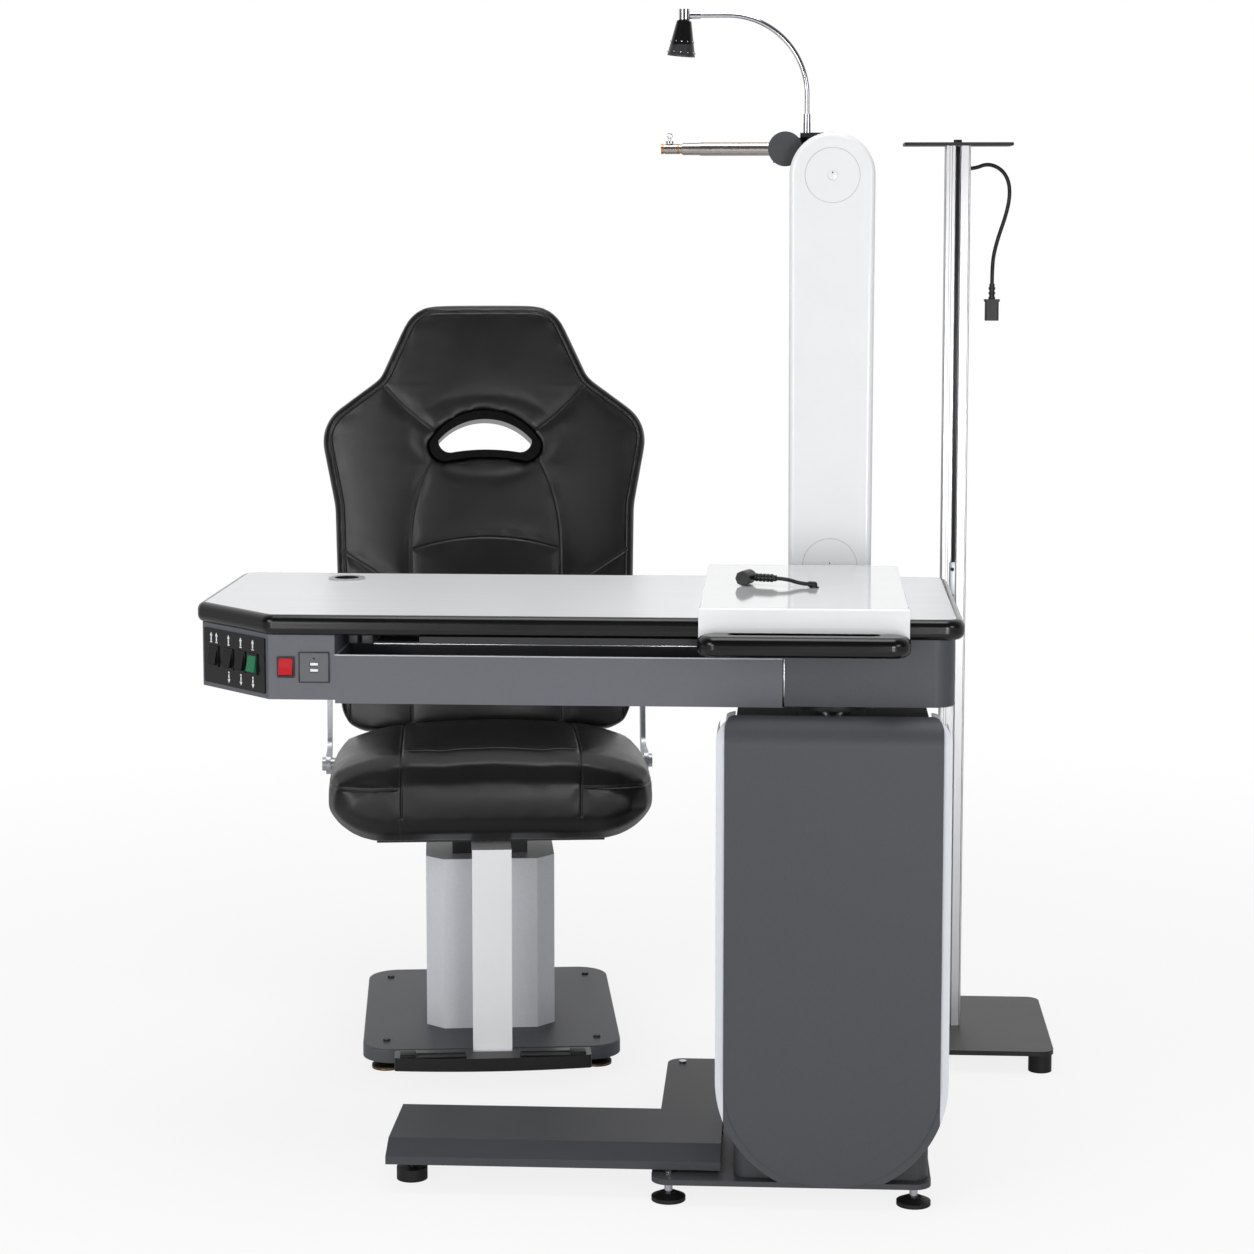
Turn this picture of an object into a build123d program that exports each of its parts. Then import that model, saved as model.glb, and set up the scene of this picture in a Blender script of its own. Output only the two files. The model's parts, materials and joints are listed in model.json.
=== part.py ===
"""Refraction unit: a swivelling instrument table on a lift pedestal, an examination
chair on its own lift column, and a projector stand.

Millimetres, +Z up, +Y away from the person who stands in front of the unit. The parts are
laid out round the table's swivel axis and are moved at the end, so that the origin lies on
the floor under the middle of the whole set.
"""
import math
import os

from build123d import *

os.makedirs("parts", exist_ok=True)

# Clearances and overruns shared by all pieces
run_gap = 0.05          # radial clearance of a shaft that turns or slides in its bore
fit_gap = 0.2           # clearance round a piece that is set into another
slide_gap = 0.3         # clearance beside a face that slides or swings past
overrun = 10.0          # how far a cut runs past the face it opens
bend_share = 0.45       # part of the shorter run beside a bend that its arc takes up

# Levelling feet, alike under the table and the chair
pad_diameter = 50.0
pad_height = 12.0
pad_neck = 24.0
stud_diameter = 12.0
stud_rise = 3.5
nut_across = 19.0
nut_height = 8.0

# Pucks under the foot rest and the projector stand
puck_diameter = 46.0
puck_height = 18.0
small_puck_diameter = 39.0

# Table base plate
base_width = 405.0
base_depth = 600.0
base_top = 40.0
base_thickness = 8.0
base_corner = 25.0
base_front = 146.0
base_right = 145.0
foot_inset = 24.5
foot_front_inset = 33.0

# Floor rest on the left of the pedestal
rest_left = 651.0
rest_right = 160.0
rest_top = 73.0
rest_lip_top = 56.0
rest_lip_bottom = 44.0
rest_front = 113.0
rest_crease = 77.0
rest_back = 82.0
rest_wall = 3.0
rest_puck_inset = 30.0
rest_puck_spread = 42.0
rest_beam_half = 60.0

# Heights that follow the table top
top_height = 850.0
top_thickness = 30.0
housing_drop = 129.0
housing_bottom = top_height - housing_drop
hub_flange_thickness = 8.0
hub_flange_bottom = housing_bottom - hub_flange_thickness
hub_collar_height = 9.0
shaft_shoulder = hub_flange_bottom - hub_collar_height
shaft_rest_rise = 9.0
box_top = shaft_shoulder - shaft_rest_rise

# Pedestal
shell_width = 335.0
cover_reveal = 12.0
cover_width = shell_width - 2 * cover_reveal
box_inset = 26.5
box_width = shell_width - 2 * box_inset
box_depth = 254.0
box_corner = 20.0
box_wall = 2.5
box_lid = 4.0
cover_bottom = 34.0
cover_rise = 21.0
cover_top = box_top + cover_rise
cover_wall = 3.0
cover_corner = 14.0
cover_bow = 40.0
shell_wall = 3.5
shell_depth = 88.0
cover_front = 150.0

# Lift column of the table
shaft_diameter = 54.0
shaft_bottom = 240.0
shaft_wall = 6.0
spigot_diameter = 40.0
spigot_drop = 64.0
spigot_top = top_height - spigot_drop
guide_diameter = 90.0
guide_head = 98.0
guide_head_height = 7.0
plunger_diameter = 20.0
plunger_bottom = 130.0
actuator_diameter = 38.0
actuator_drop = 144.0
actuator_top = shaft_shoulder - actuator_drop
gearbox_height = 56.0
gearbox_width = 160.0
gearbox_depth = 96.0
gearbox_shift = 30.0
motor_diameter = 60.0
motor_height = 124.0
motor_offset = 78.0

# Swivel hub
hub_flange_diameter = 124.0
hub_collar_diameter = 60.0
hub_sleeve_diameter = 60.0
hub_sleeve_drop = 50.0
hub_sleeve_top = top_height - hub_sleeve_drop

# Head housing and beam
housing_left = 72.0
housing_right = 175.0
housing_front = 63.0
housing_back = 150.0
housing_corner = 30.0
housing_wall = 3.0
beam_left = 726.0
beam_step = 2.0
beam_bottom = housing_bottom - beam_step
beam_height = 72.0
beam_top = beam_bottom + beam_height
beam_rear = 90.0

# Control box on the left end of the beam
control_left = 823.0
control_far = 945.0
control_back = 120.0
control_step = 3.0
control_bottom = housing_bottom + control_step
panel_width = 158.0
panel_height = 82.0
panel_thickness = 2.5
rocker_width = 20.0
rocker_height = 25.0
rocker_depth = 14.0
rocker_proud = 4.5
rocker_pin = 3.0
rocker_gap = 0.4
rocker_draw = 1.4
bezel_width = 26.0
bezel_height = 31.5
bezel_proud = 2.0
bezel_lip = 2.0
rocker_place_shares = (-0.335, -0.089, 0.112, 0.309)
power_place_share = 0.26
socket_place_share = 0.69
socket_plate = 45.0
socket_depth = 22.0
socket_width = 13.0
socket_slot_height = 5.6
socket_pitch = 9.0

# Table top
top_left = 953.0
top_right = 188.0
top_front = 78.0
top_back = 422.0
chamfer_width = 129.0
chamfer_depth = 135.0
top_corner = 28.0
chamfer_round = 22.0
band_width = 12.0
band_round = 11.0
grommet_x = 770.0
grommet_y = 339.0
grommet_bore = 38.0
grommet_wall = 4.0
grommet_flange = 58.0
grommet_flange_height = 2.5

# Frame and slide rails under the table top
frame_front = 60.0
frame_back = 330.0
frame_bar = 30.0
rail_width = 9.0
rail_height = 10.0
rail_inset = 3.0
rail_end = 25.0
rail_right = 110.0

# Instrument tray that slides along the table
tray_left = 195.0
tray_width = 303.0
tray_front = 88.0
tray_back = 429.0
tray_rise = 17.0
tray_top = top_height + tray_rise
tray_height = 64.0
tray_bottom = tray_top - tray_height
tray_wall = 4.0
tray_corner = 3.5
tray_travel = 380.0
glide_width = 22.0
glide_inset = 14.0
shoe_length = 40.0
shoe_height = 6.0
handle_length = 305.0
handle_thickness = 30.0
handle_reach = 57.0
handle_slot_length = 217.0
handle_slot_width = 24.0
handle_slot_back = 9.0
handle_round = 12.0
handle_drop = 34.0
handle_top = tray_top - handle_drop

# Lead on the tray
gland_x = -27.0
gland_y = 145.0
gland_diameter = 14.0
gland_thread = 10.0
gland_flange = 2.0
gland_nut_height = 3.0
gland_height = 5.0
gland_turn = 155.0
nozzle_diameter = 9.0
nozzle_length = 9.0
tray_lead_diameter = 6.0
tray_lead_start = 16.0
tray_lead_end = 14.0
tray_plug_x = 135.0
tray_plug_y = 162.0
tray_plug_lift = 11.6
tray_plug_turn = 20.0
tray_plug_diameter = 22.0
tray_plug_face = 23.0
tray_plug_length = 26.0
tray_plug_face_thickness = 4.0
tray_plug_collar = 17.0
tray_plug_collar_length = 8.0
tray_relief_y = 18.0
tray_relief_length = 36.0
tray_relief_diameter = 9.5
tray_rib_diameter = 12.5
tray_rib_width = 3.0
tray_rib_pitch = 6.0
tray_rib_count = 5

# Arm
arm_front = 467.0
arm_depth = 46.0
arm_radius_low = 67.0
arm_radius_high = 69.0
arm_low_rise = 11.0
arm_low = top_height + arm_low_rise
arm_length = 630.0
arm_high = arm_low + arm_length
arm_wall = 3.0
arm_edge = 9.0
arm_cap_diameter = 88.0
arm_cap_rim = 4.0
arm_cap_rim_thickness = 2.0
spine_plate = 6.0
boss_diameter = 52.0
boss_length = 30.0
pivot_diameter = 30.0
lever_offset = 36.0
lever_thickness = 5.0
lever_pin = 8.0
lever_pin_length = 9.0
lever_end = 18.0
link_width = 16.0
link_thickness = 6.5
open_pin_slack = 0.6
bracket_gap = 4.0
bracket_plate = 16.0
bracket_half = 45.0
bracket_bar_half = 40.0
bracket_bar_drop = 105.0
bracket_bar_bottom = top_height - bracket_bar_drop
bracket_bar_height = 45.0
bracket_bar_top = bracket_bar_bottom + bracket_bar_height

# Head at the top of the arm
head_plate = 14.0
head_boss = 62.0
head_rise = 69.0
head_top = arm_high + head_rise
head_height = 55.0
head_bottom = head_top - head_height
ear_thickness = 7.0
ear_left = 52.0
web_right = 10.0
web_left = 24.0
plate_left = 38.0
ear_depth = 47.0
swing_x = -41.0
swing_inset = 29.0
swing_pin_diameter = 16.0
post_diameter = 13.0
post_rise = 17.0
post_top = head_top + post_rise
knuckle_round = 30.0
knuckle_left = 96.0
knuckle_depth = 28.0
drum_x = -76.0
drum_rise = 29.0
drum_height = head_bottom + drum_rise
drum_diameter = 56.0
drum_thickness = 26.0
journal_diameter = 12.0
journal_length = 24.0
rod_diameter = 22.0
rod_start = 84.0
rod_step = 215.0
rod_neck = 243.0
rod_tip = 278.0
rod_neck_diameter = 20.0
rod_end_diameter = 16.5
rod_groove = 1.0
rod_groove_width = 2.0
screw_collar = 13.0
screw_collar_height = 4.5
screw_stem = 5.0
screw_stem_rise = 5.0
screw_ring = 9.5
screw_wire = 2.2
screw_depth = 5.0
screw_x = 264.0

# Lamp on the swan neck
neck_diameter = 8.5
neck_straight = 44.0
neck_bend = 130.0
neck_reach = 174.0
neck_sleeve = 12.0
neck_sleeve_length = 18.0
neck_ferrule = 12.0
neck_ferrule_height = 14.0
lamp_stub = 6.0
lamp_stub_length = 10.0
lamp_body = 18.0
lamp_body_height = 19.0
lamp_body_drop = 9.0
shade_top_diameter = 24.0
shade_diameter = 46.0
shade_height = 57.0
shade_wall = 2.0
shade_lean = 5.0
lens_thickness = 3.0
lens_inset = 1.5

# Chair, laid out round the middle of its base plate
chair_x = -586.0
chair_y = 730.0
chair_yaw = 7.0
chair_base_width = 433.0
chair_base_depth = 510.0
chair_base_top = 45.0
chair_base_thickness = 23.0
chair_base_corner = 55.0
chair_base_edge = 3.0
chair_foot_half = 177.0
chair_foot_reach = 200.0
column_width = 219.0
column_depth = 190.0
column_back_shift = 40.0
column_chamfer = 30.0
column_top = 339.0
column_wall = 4.0
inner_width = 128.0
inner_depth = 100.0
inner_wall = 5.0
inner_bottom = 62.0
seat_plate_top = 394.0
seat_plate_thickness = 8.0
seat_plate_width = 380.0
seat_plate_depth = 340.0
bar_width = 65.0
bar_thickness = 8.0
bar_front = 276.0
bar_bottom = 49.0
bar_tongue = 130.0

# Foot rest that folds up at the foot of the bar
rest_bar_width = 324.0
rest_bar_front = 338.0
rest_bar_back = 283.0
rest_bar_bottom = 30.0
rest_bar_thickness = 22.0
rest_bar_bow = 12.0
rest_bar_edge = 5.0
hinge_y = 290.0
hinge_pin = 8.0
hinge_barrel = 14.0
hinge_pin_half = 58.0
notch_slack = 0.5

# Seat cushion
seat_gap = 0.3
seat_width = 535.0
seat_front = 292.0
seat_back = 148.0
seat_crown = 552.0
seat_panel_share = 0.33
seat_dip_share = 0.12
seat_flank_share = 0.8
seat_bulge_share = 1.035
seat_foot_share = 0.72
seat_corner_share = 0.935
seat_corner_rise_share = 0.42
# Rows along the cushion from front to rear, as shares of its length, of its half width
# and of its height: place, width, underside, top of the side, crown
seat_row_shares = ((0.0, 0.84, 0.30, 0.50, 0.68), (0.04, 0.94, 0.13, 0.66, 0.88),
                   (0.12, 0.98, 0.0, 0.75, 0.98), (0.24, 0.985, 0.0, 0.76, 1.0),
                   (0.42, 0.985, 0.0, 0.75, 1.0), (0.62, 0.975, 0.0, 0.73, 0.985),
                   (0.82, 0.955, 0.0, 0.70, 0.93), (1.0, 0.93, 0.0, 0.66, 0.84))

# Backrest, laid out in its own leaning plane
back_lean = 9.0
back_foot_y = 152.0
back_foot_z = 505.0
back_thickness = 84.0
back_top = 772.0
back_top_half = 128.0
back_neck = 641.0
back_neck_half = 189.0
back_shoulder = 560.0
back_shoulder_half = 301.0
back_waist = 409.0
back_waist_half = 272.0
back_foot_half = 262.0
back_crown_radius = 1400.0
back_edge = 24.0
back_front_edge = 12.0
back_corner_shares = (0.52, 0.35, 0.58, 0.78, 0.44)
grip_centre = 532.0
grip_width = 200.0
grip_height = 92.0
grip_wall = 16.0
grip_proud = 4.0
grip_shoulder_share = 0.36
grip_corner_share = 0.93
grip_corner_rise_share = 0.3
grip_floor_share = 0.72
grip_sag_share = 0.17
seam_width = 3.0
seam_depth = 2.5
border_inset = 16.0
neck_seam_half = 178.0
neck_seam_height = 620.0
side_seam_half = 134.0
side_seam_middle = 124.0
arch_low = 328.0
arch_high = 350.0
flank_seam_half = 256.0
flank_seam_height = 326.0
flank_seam_foot = 245.0

# Brackets that join the seat and the backrest
side_strap = 36.0
side_strap_thickness = 8.0
side_strap_x = 278.0
strap_bend = 40.0
bolt_diameter = 24.0
bolt_height = 7.0
bolt_shank = 24.0
bolt_core = 12.0
spacer_diameter = 22.0
spacer_reach = 40.0
low_bolt_y = 112.0
low_bolt_z = 458.0
high_bolt_y = 207.0
high_bolt_z = 612.0

# Projector stand
pole_x = 212.0
pole_plate = 338.0
pole_gap = 77.0
pole_y = base_depth - base_front + pole_gap + pole_plate / 2
pole_plate_top = 38.0
pole_plate_thickness = 8.0
pole_plate_corner = 22.0
pole_size = 42.0
pole_round = 2.0
pole_top = 1542.0
slot_width = 10.0
slot_depth = 11.0
pole_bore = 12.0
platform_width = 180.0
platform_depth = 110.0
platform_thickness = 5.0
platform_corner = 8.0
platform_hole = 5.0
platform_hole_inset = 10.0
knob_diameter = 14.0
knob_height = 5.0
knob_depth = 30.0

# Lead of the projector: its route as steps outward and upward from where it leaves the slot
pole_lead_diameter = 6.5
pole_lead_height = 1504.0
pole_lead_route = ((0, 0), (18.0, 0), (40.0, 9.0), (63.0, 0), (76.0, -20.0), (78.0, -48.0),
                   (71.0, -80.0), (60.0, -112.0), (52.0, -143.0), (50.0, -168.0),
                   (50.0, -192.0))
plug_relief_length = 26.0
plug_relief_diameter = 9.0
plug_ring_diameter = 11.5
plug_ring_width = 4.0
plug_ring_pitch = 8.0
plug_ring_count = 3
plug_flange_width = 26.0
plug_flange_depth = 19.0
plug_flange_thickness = 4.0
plug_body_width = 23.0
plug_body_depth = 16.0
plug_body_length = 32.0
plug_corner = 3.0
plug_slot_depth = 15.0
plug_slot_width = 2.6
plug_slot_thickness = 4.4
plug_slot_pitch = 7.0
plug_slot_shift = 2.0


def slab(x0, x1, y0, y1, z0, z1):
    """Box between two opposite corners."""
    centre = ((x0 + x1) / 2, (y0 + y1) / 2, (z0 + z1) / 2)
    return Pos(*centre) * Box(abs(x1 - x0), abs(y1 - y0), abs(z1 - z0))


def round_slab(x0, x1, y0, y1, z0, z1, radius):
    """Box between two corners, with its upright edges rounded."""
    outline = RectangleRounded(x1 - x0, y1 - y0, radius)
    return Pos((x0 + x1) / 2, (y0 + y1) / 2, z0) * extrude(outline, z1 - z0)


def rod_z(diameter, z0, z1, x=0, y=0):
    """Round bar along Z."""
    return Pos(x, y, (z0 + z1) / 2) * Cylinder(diameter / 2, z1 - z0)


def rod_y(diameter, y0, y1, x, z):
    """Round bar along Y."""
    return Pos(x, (y0 + y1) / 2, z) * Rot(90, 0, 0) * Cylinder(diameter / 2, y1 - y0)


def rod_x(diameter, x0, x1, y, z):
    """Round bar along X."""
    return Pos((x0 + x1) / 2, y, z) * Rot(0, 90, 0) * Cylinder(diameter / 2, x1 - x0)


def upright(outline, y0, y1):
    """A flat outline, drawn in X and Z, made thick from y0 to y1."""
    return extrude(Plane.XZ.offset(-y1) * outline, y1 - y0)


def sideways(points, x0, x1):
    """A closed polygon, drawn in Y and Z, made thick from x0 to x1."""
    return extrude(Plane.YZ.offset(x0) * make_face(Polyline(*points, close=True)), x1 - x0)


def tombstone(half, bottom, top, corner):
    """Outline with a half-round foot and two rounded top corners."""
    centre = bottom + half
    body = Pos(0, (centre + top) / 2) * Rectangle(2 * half, top - centre)
    body = fillet(body.vertices().group_by(Axis.Y)[-1], corner)
    return body + Pos(0, centre) * Circle(half)


def stadium(x0, z0, r0, x1, z1, r1):
    """Outline round two circles and the straight sides that touch both."""
    span = math.hypot(x1 - x0, z1 - z0)
    along = math.atan2(z1 - z0, x1 - x0)
    swing = math.acos((r0 - r1) / span)
    ends = []
    for x, z, r in ((x0, z0, r0), (x1, z1, r1)):
        for turn in (swing, -swing):
            ends.append((x + r * math.cos(along + turn), z + r * math.sin(along + turn)))
    sides = make_face(Polyline(ends[0], ends[2], ends[3], ends[1], close=True))
    return sides + Pos(x0, z0) * Circle(r0) + Pos(x1, z1) * Circle(r1)


def rounded_polygon(corners, inset=0):
    """Polygon of (x, y, radius) corners, drawn in by inset and then rounded to match."""
    shape = make_face(Polyline(*[(x, y) for x, y, _ in corners], close=True))
    if inset:
        shape = offset(shape, -inset, kind=Kind.INTERSECTION)
    for x, y, radius in corners:
        if radius > inset:
            nearest = shape.vertices().sort_by_distance((x, y, 0))[0]
            shape = fillet(nearest, radius - inset)
    return shape


def arc_band(start, middle, end, width):
    """Flat band of even width along an arc through three points."""
    return trace(ThreePointArc(start, middle, end), width)


def hexagon_nut(x, y, top):
    """Hexagonal nut whose upper face is at top."""
    outline = RegularPolygon(nut_across / 2, 6, major_radius=False)
    return Pos(x, y, top - nut_height) * extrude(outline, nut_height)


def cord_tube(points, diameter, name):
    """Tube of straight runs and tangent arcs; prints its radii and its length."""
    corners = [Vector(*point) for point in points]
    radii = []
    for before, here, after in zip(corners, corners[1:], corners[2:]):
        turn = math.radians((here - before).get_angle(after - here))
        shorter = min((here - before).length, (after - here).length)
        radii.append(bend_share * shorter / math.tan(turn / 2))
    path = FilletPolyline(*points, radius=radii)
    start = Plane(origin=path @ 0, z_dir=path % 0)
    tube = sweep(start * Circle(diameter / 2), path=path)
    due = math.pi * diameter ** 2 / 4 * path.length
    print(name, "length", round(path.length, 1), "volume share", round(tube.volume / due, 4))
    print(name, "radii", [round(radius, 1) for radius in radii])
    return tube


# Places of the table's feet: x, y of each, and the underside of the plate above
base_left = base_width - base_right
base_rear = base_depth - base_front
table_feet = [(x, y) for x in (-base_left + foot_inset, base_right - foot_inset)
              for y in (-base_front + foot_front_inset, base_rear - foot_inset)]
base_under = base_top - base_thickness
chair_under = chair_base_top - chair_base_thickness


def in_chair(shape):
    """Moves a piece of the chair from the chair's own frame to its place beside the table."""
    return Pos(chair_x, chair_y, 0) * Rot(0, 0, chair_yaw) * shape


def foot_pad():
    """Domed pad of one levelling foot."""
    skirt = rod_z(pad_diameter, 0, pad_height / 2)
    dome = Pos(0, 0, pad_height * 3 / 4) * Cone(pad_diameter / 2, pad_neck / 2, pad_height / 2)
    return skirt + dome


def foot_stud(under, top):
    """Threaded stud with its lock nut under the plate."""
    return rod_z(stud_diameter, pad_height, top + stud_rise) + hexagon_nut(0, 0, under)


def base_pieces():
    """Base plate, levelling feet, pucks and the floor rest."""
    plate = round_slab(-base_left, base_right, -base_front, base_rear, base_under, base_top,
                       base_corner)
    for x, y in table_feet:
        plate -= rod_z(stud_diameter + 2 * fit_gap, base_under - overrun, base_top + overrun, x, y)
    chair_feet = [(x, y) for x in (-chair_foot_half, chair_foot_half)
                  for y in (-chair_foot_reach, chair_foot_reach)]
    pads = [Pos(x, y, 0) * foot_pad() for x, y in table_feet]
    pads += [in_chair(Pos(x, y, 0) * foot_pad()) for x, y in chair_feet]
    studs = [Pos(x, y, 0) * foot_stud(base_under, base_top) for x, y in table_feet]
    studs += [in_chair(Pos(x, y, 0) * foot_stud(chair_under, chair_base_top))
              for x, y in chair_feet]
    puck_x = -rest_left + rest_puck_inset
    for y in (-rest_puck_spread, rest_puck_spread):
        pads.append(rod_z(puck_diameter, 0, puck_height, puck_x, y)
                    + rod_z(stud_diameter, puck_height, base_top, puck_x, y))
    corner = pole_plate / 2 - pole_plate_corner
    for x in (pole_x - corner, pole_x + corner):
        for y in (pole_y - corner, pole_y + corner):
            pads.append(rod_z(small_puck_diameter, 0, pole_plate_top - pole_plate_thickness, x, y))
    outer = [(-rest_front, rest_lip_bottom), (-rest_front, rest_lip_top), (-rest_crease, rest_top),
             (rest_back, rest_top), (rest_back, rest_lip_bottom)]
    inner = [(-rest_front + rest_wall, rest_lip_bottom - overrun),
             (-rest_front + rest_wall, rest_lip_top - rest_wall / 2),
             (-rest_crease, rest_top - rest_wall), (rest_back - rest_wall, rest_top - rest_wall),
             (rest_back - rest_wall, rest_lip_bottom - overrun)]
    cover = sideways(outer, -rest_left, -rest_right)
    cover -= sideways(inner, -rest_left + rest_wall, -rest_right + overrun)
    beam = slab(-rest_left + rest_wall, -rest_right, -rest_beam_half, rest_beam_half,
                base_top, rest_top - rest_wall)
    beam -= slab(-rest_left + rest_wall + overrun, -rest_right + overrun,
                 -rest_beam_half + rest_wall, rest_beam_half - rest_wall,
                 base_top + rest_wall, rest_top - 2 * rest_wall)
    return {"base_frame": plate + beam, "levelling_pads": Compound(pads),
            "levelling_studs": Compound(studs), "footrest_cover": cover}


def crest(half, y_front, depth, bottom, top, bow):
    """Block behind the front plane, with its top front edge rolled back."""
    profile = Pos(y_front + depth / 2, (bottom + top) / 2) * Rectangle(depth, top - bottom)
    edge = profile.vertices().sort_by(Axis.X)[:2].sort_by(Axis.Y)[-1]
    profile = fillet(edge, bow)
    return extrude(Plane.YZ.offset(-half) * profile, 2 * half)


def pedestal_pieces():
    """Pedestal box, its silver shell and the dark front cover."""
    half_w, half_d = box_width / 2, box_depth / 2
    box = round_slab(-half_w, half_w, -half_d, half_d, base_top, box_top, box_corner)
    box -= round_slab(-half_w + box_wall, half_w - box_wall, -half_d + box_wall,
                      half_d - box_wall, base_top - overrun, box_top - box_lid,
                      box_corner - box_wall)
    box -= rod_z(guide_diameter + 2 * fit_gap, box_top - overrun, box_top + overrun)

    outline = tombstone(cover_width / 2, cover_bottom, cover_top, cover_corner)
    cover = upright(outline, -cover_front, -cover_front + cover_bow)
    cover &= crest(cover_width, -cover_front, cover_bow, cover_bottom, cover_top, cover_bow)
    cover -= crest(cover_width, -cover_front + cover_wall, cover_bow, cover_bottom - overrun,
                   cover_top - cover_wall, cover_bow - cover_wall)

    shell_front = -cover_front + cover_wall
    shell_back = shell_front + shell_depth
    shell_bottom = cover_bottom - (shell_width - cover_width) / 2
    shell_top = cover_top - cover_wall
    skin = upright(tombstone(shell_width / 2, shell_bottom, shell_top, cover_corner * 2),
                   shell_front, shell_back)
    skin &= crest(shell_width, shell_front, shell_depth, shell_bottom, shell_top,
                  cover_bow - cover_wall)
    hollow = upright(tombstone(shell_width / 2 - shell_wall, shell_bottom + shell_wall,
                               shell_top - shell_wall, cover_corner),
                     shell_front + shell_wall, shell_back + overrun)
    hollow &= crest(shell_width, shell_front + shell_wall, shell_depth + overrun, shell_bottom,
                    shell_top - shell_wall, cover_bow - cover_wall - shell_wall)
    skin -= hollow
    skin -= slab(-shell_width, shell_width, shell_front, shell_back, 0, base_top + fit_gap)
    skin -= slab(-half_w - fit_gap, half_w + fit_gap, -half_d, shell_back + overrun,
                 0, cover_top + overrun)
    return {"pedestal_box": box, "pedestal_shell": skin, "pedestal_front_cover": cover}


def lift_pieces():
    """Guide tube, lift motors and the chrome lift shaft of the table."""
    guide = rod_z(guide_diameter, base_top + gearbox_height, box_top)
    guide += Pos(0, 0, box_top + guide_head_height / 2) * Box(guide_head, guide_head,
                                                             guide_head_height)
    guide -= rod_z(shaft_diameter + 2 * run_gap, 0, cover_top)

    gearbox_top = base_top + gearbox_height
    drive = slab(gearbox_shift - gearbox_width / 2, gearbox_shift + gearbox_width / 2,
                 -gearbox_depth / 2, gearbox_depth / 2, base_top, gearbox_top)
    drive += rod_z(motor_diameter, gearbox_top, gearbox_top + motor_height, motor_offset)
    drive += rod_z(actuator_diameter, gearbox_top, actuator_top)
    drive -= rod_z(plunger_diameter + 2 * run_gap, plunger_bottom - overrun, box_top)

    shaft = rod_z(shaft_diameter, shaft_bottom, shaft_shoulder)
    shaft -= rod_z(shaft_diameter - 2 * shaft_wall, 0, shaft_shoulder - 2 * shaft_wall)
    shaft += rod_z(spigot_diameter, shaft_shoulder, spigot_top)
    shaft += rod_z(plunger_diameter, plunger_bottom, shaft_shoulder - shaft_wall)

    hub = rod_z(hub_collar_diameter, shaft_shoulder, hub_flange_bottom)
    hub += rod_z(hub_flange_diameter, hub_flange_bottom, housing_bottom)
    hub += rod_z(hub_sleeve_diameter, housing_bottom, hub_sleeve_top)
    hub -= rod_z(spigot_diameter + 2 * run_gap, 0, hub_sleeve_top + overrun)
    return {"lift_guide": guide, "lift_motors": drive, "lift_shaft": shaft,
            "swivel_hub": hub}


top_under = top_height - top_thickness
control_skew = control_far - control_left
angled_face = Plane(origin=(-(control_left + control_far) / 2, -housing_front + control_skew / 2,
                            (control_bottom + top_under) / 2),
                    x_dir=(1, -1, 0), z_dir=(-1, -1, 0))
front_face = Plane(origin=(-control_left, -housing_front, (control_bottom + top_under) / 2),
                   x_dir=(1, 0, 0), z_dir=(0, -1, 0))


def head_pieces():
    """Head housing, beam, carrying frame and rails under the table top."""
    housing = slab(-housing_left, housing_right, -housing_front, housing_back, housing_bottom,
                   top_under)
    corner = housing.edges().filter_by(Axis.Z).group_by(Axis.X)[-1].sort_by(Axis.Y)[0]
    housing = fillet(corner, housing_corner)
    inside = slab(-housing_left + housing_wall, housing_right - housing_wall,
                  -housing_front + housing_wall, housing_back - housing_wall,
                  housing_bottom + housing_wall, top_under + overrun)
    corner = inside.edges().filter_by(Axis.Z).group_by(Axis.X)[-1].sort_by(Axis.Y)[0]
    housing -= fillet(corner, housing_corner - housing_wall)
    housing -= rod_z(hub_sleeve_diameter + 2 * fit_gap, 0, housing_bottom + overrun)

    beam = slab(-beam_left, -housing_left, -housing_front, beam_rear, beam_bottom, beam_top)
    beam -= slab(-beam_left + housing_wall, -housing_left + overrun,
                 -housing_front + housing_wall, beam_rear - housing_wall,
                 beam_bottom + housing_wall, beam_top + overrun)

    frame_left, frame_right = beam_left - overrun, housing_left + overrun
    frame = slab(-frame_left, -frame_right, frame_front, frame_front + frame_bar, beam_top,
                 top_under)
    frame += slab(-frame_left, -frame_right, frame_back - frame_bar, frame_back, beam_top,
                  top_under)
    for x in (-frame_left, -frame_right - frame_bar):
        frame += slab(x, x + frame_bar, frame_front, frame_back, beam_top, top_under)

    rails = []
    rail_left = tray_left + tray_travel + rail_end
    for y in (-top_front + rail_inset, top_back - rail_inset - rail_width):
        rails.append(slab(-rail_left, rail_right, y, y + rail_width, top_under - rail_height,
                          top_under))
    return {"head_housing": housing, "beam": beam, "top_frame": frame,
            "tray_rails": Compound(rails)}


def rocker_bezel(with_wall):
    """Frame of a rocker switch, drawn flat on a face that looks along Z."""
    lip = Pos(0, 0, with_wall) * extrude(RectangleRounded(bezel_width, bezel_height, bezel_lip),
                                         bezel_proud)
    body = Pos(0, 0, -rocker_depth) * extrude(Rectangle(bezel_width - 2 * bezel_lip,
                                                        bezel_height - 2 * bezel_lip),
                                              rocker_depth + with_wall)
    bezel = lip + body
    bezel -= Pos(0, 0, -rocker_depth + bezel_lip) * extrude(
        Rectangle(rocker_width + 2 * rocker_gap, rocker_height + 2 * rocker_gap),
        rocker_depth + with_wall + bezel_proud)
    pin = Rot(0, 90, 0) * Cylinder(rocker_pin / 2 - run_gap, rocker_width + bezel_lip)
    return bezel + pin


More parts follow.
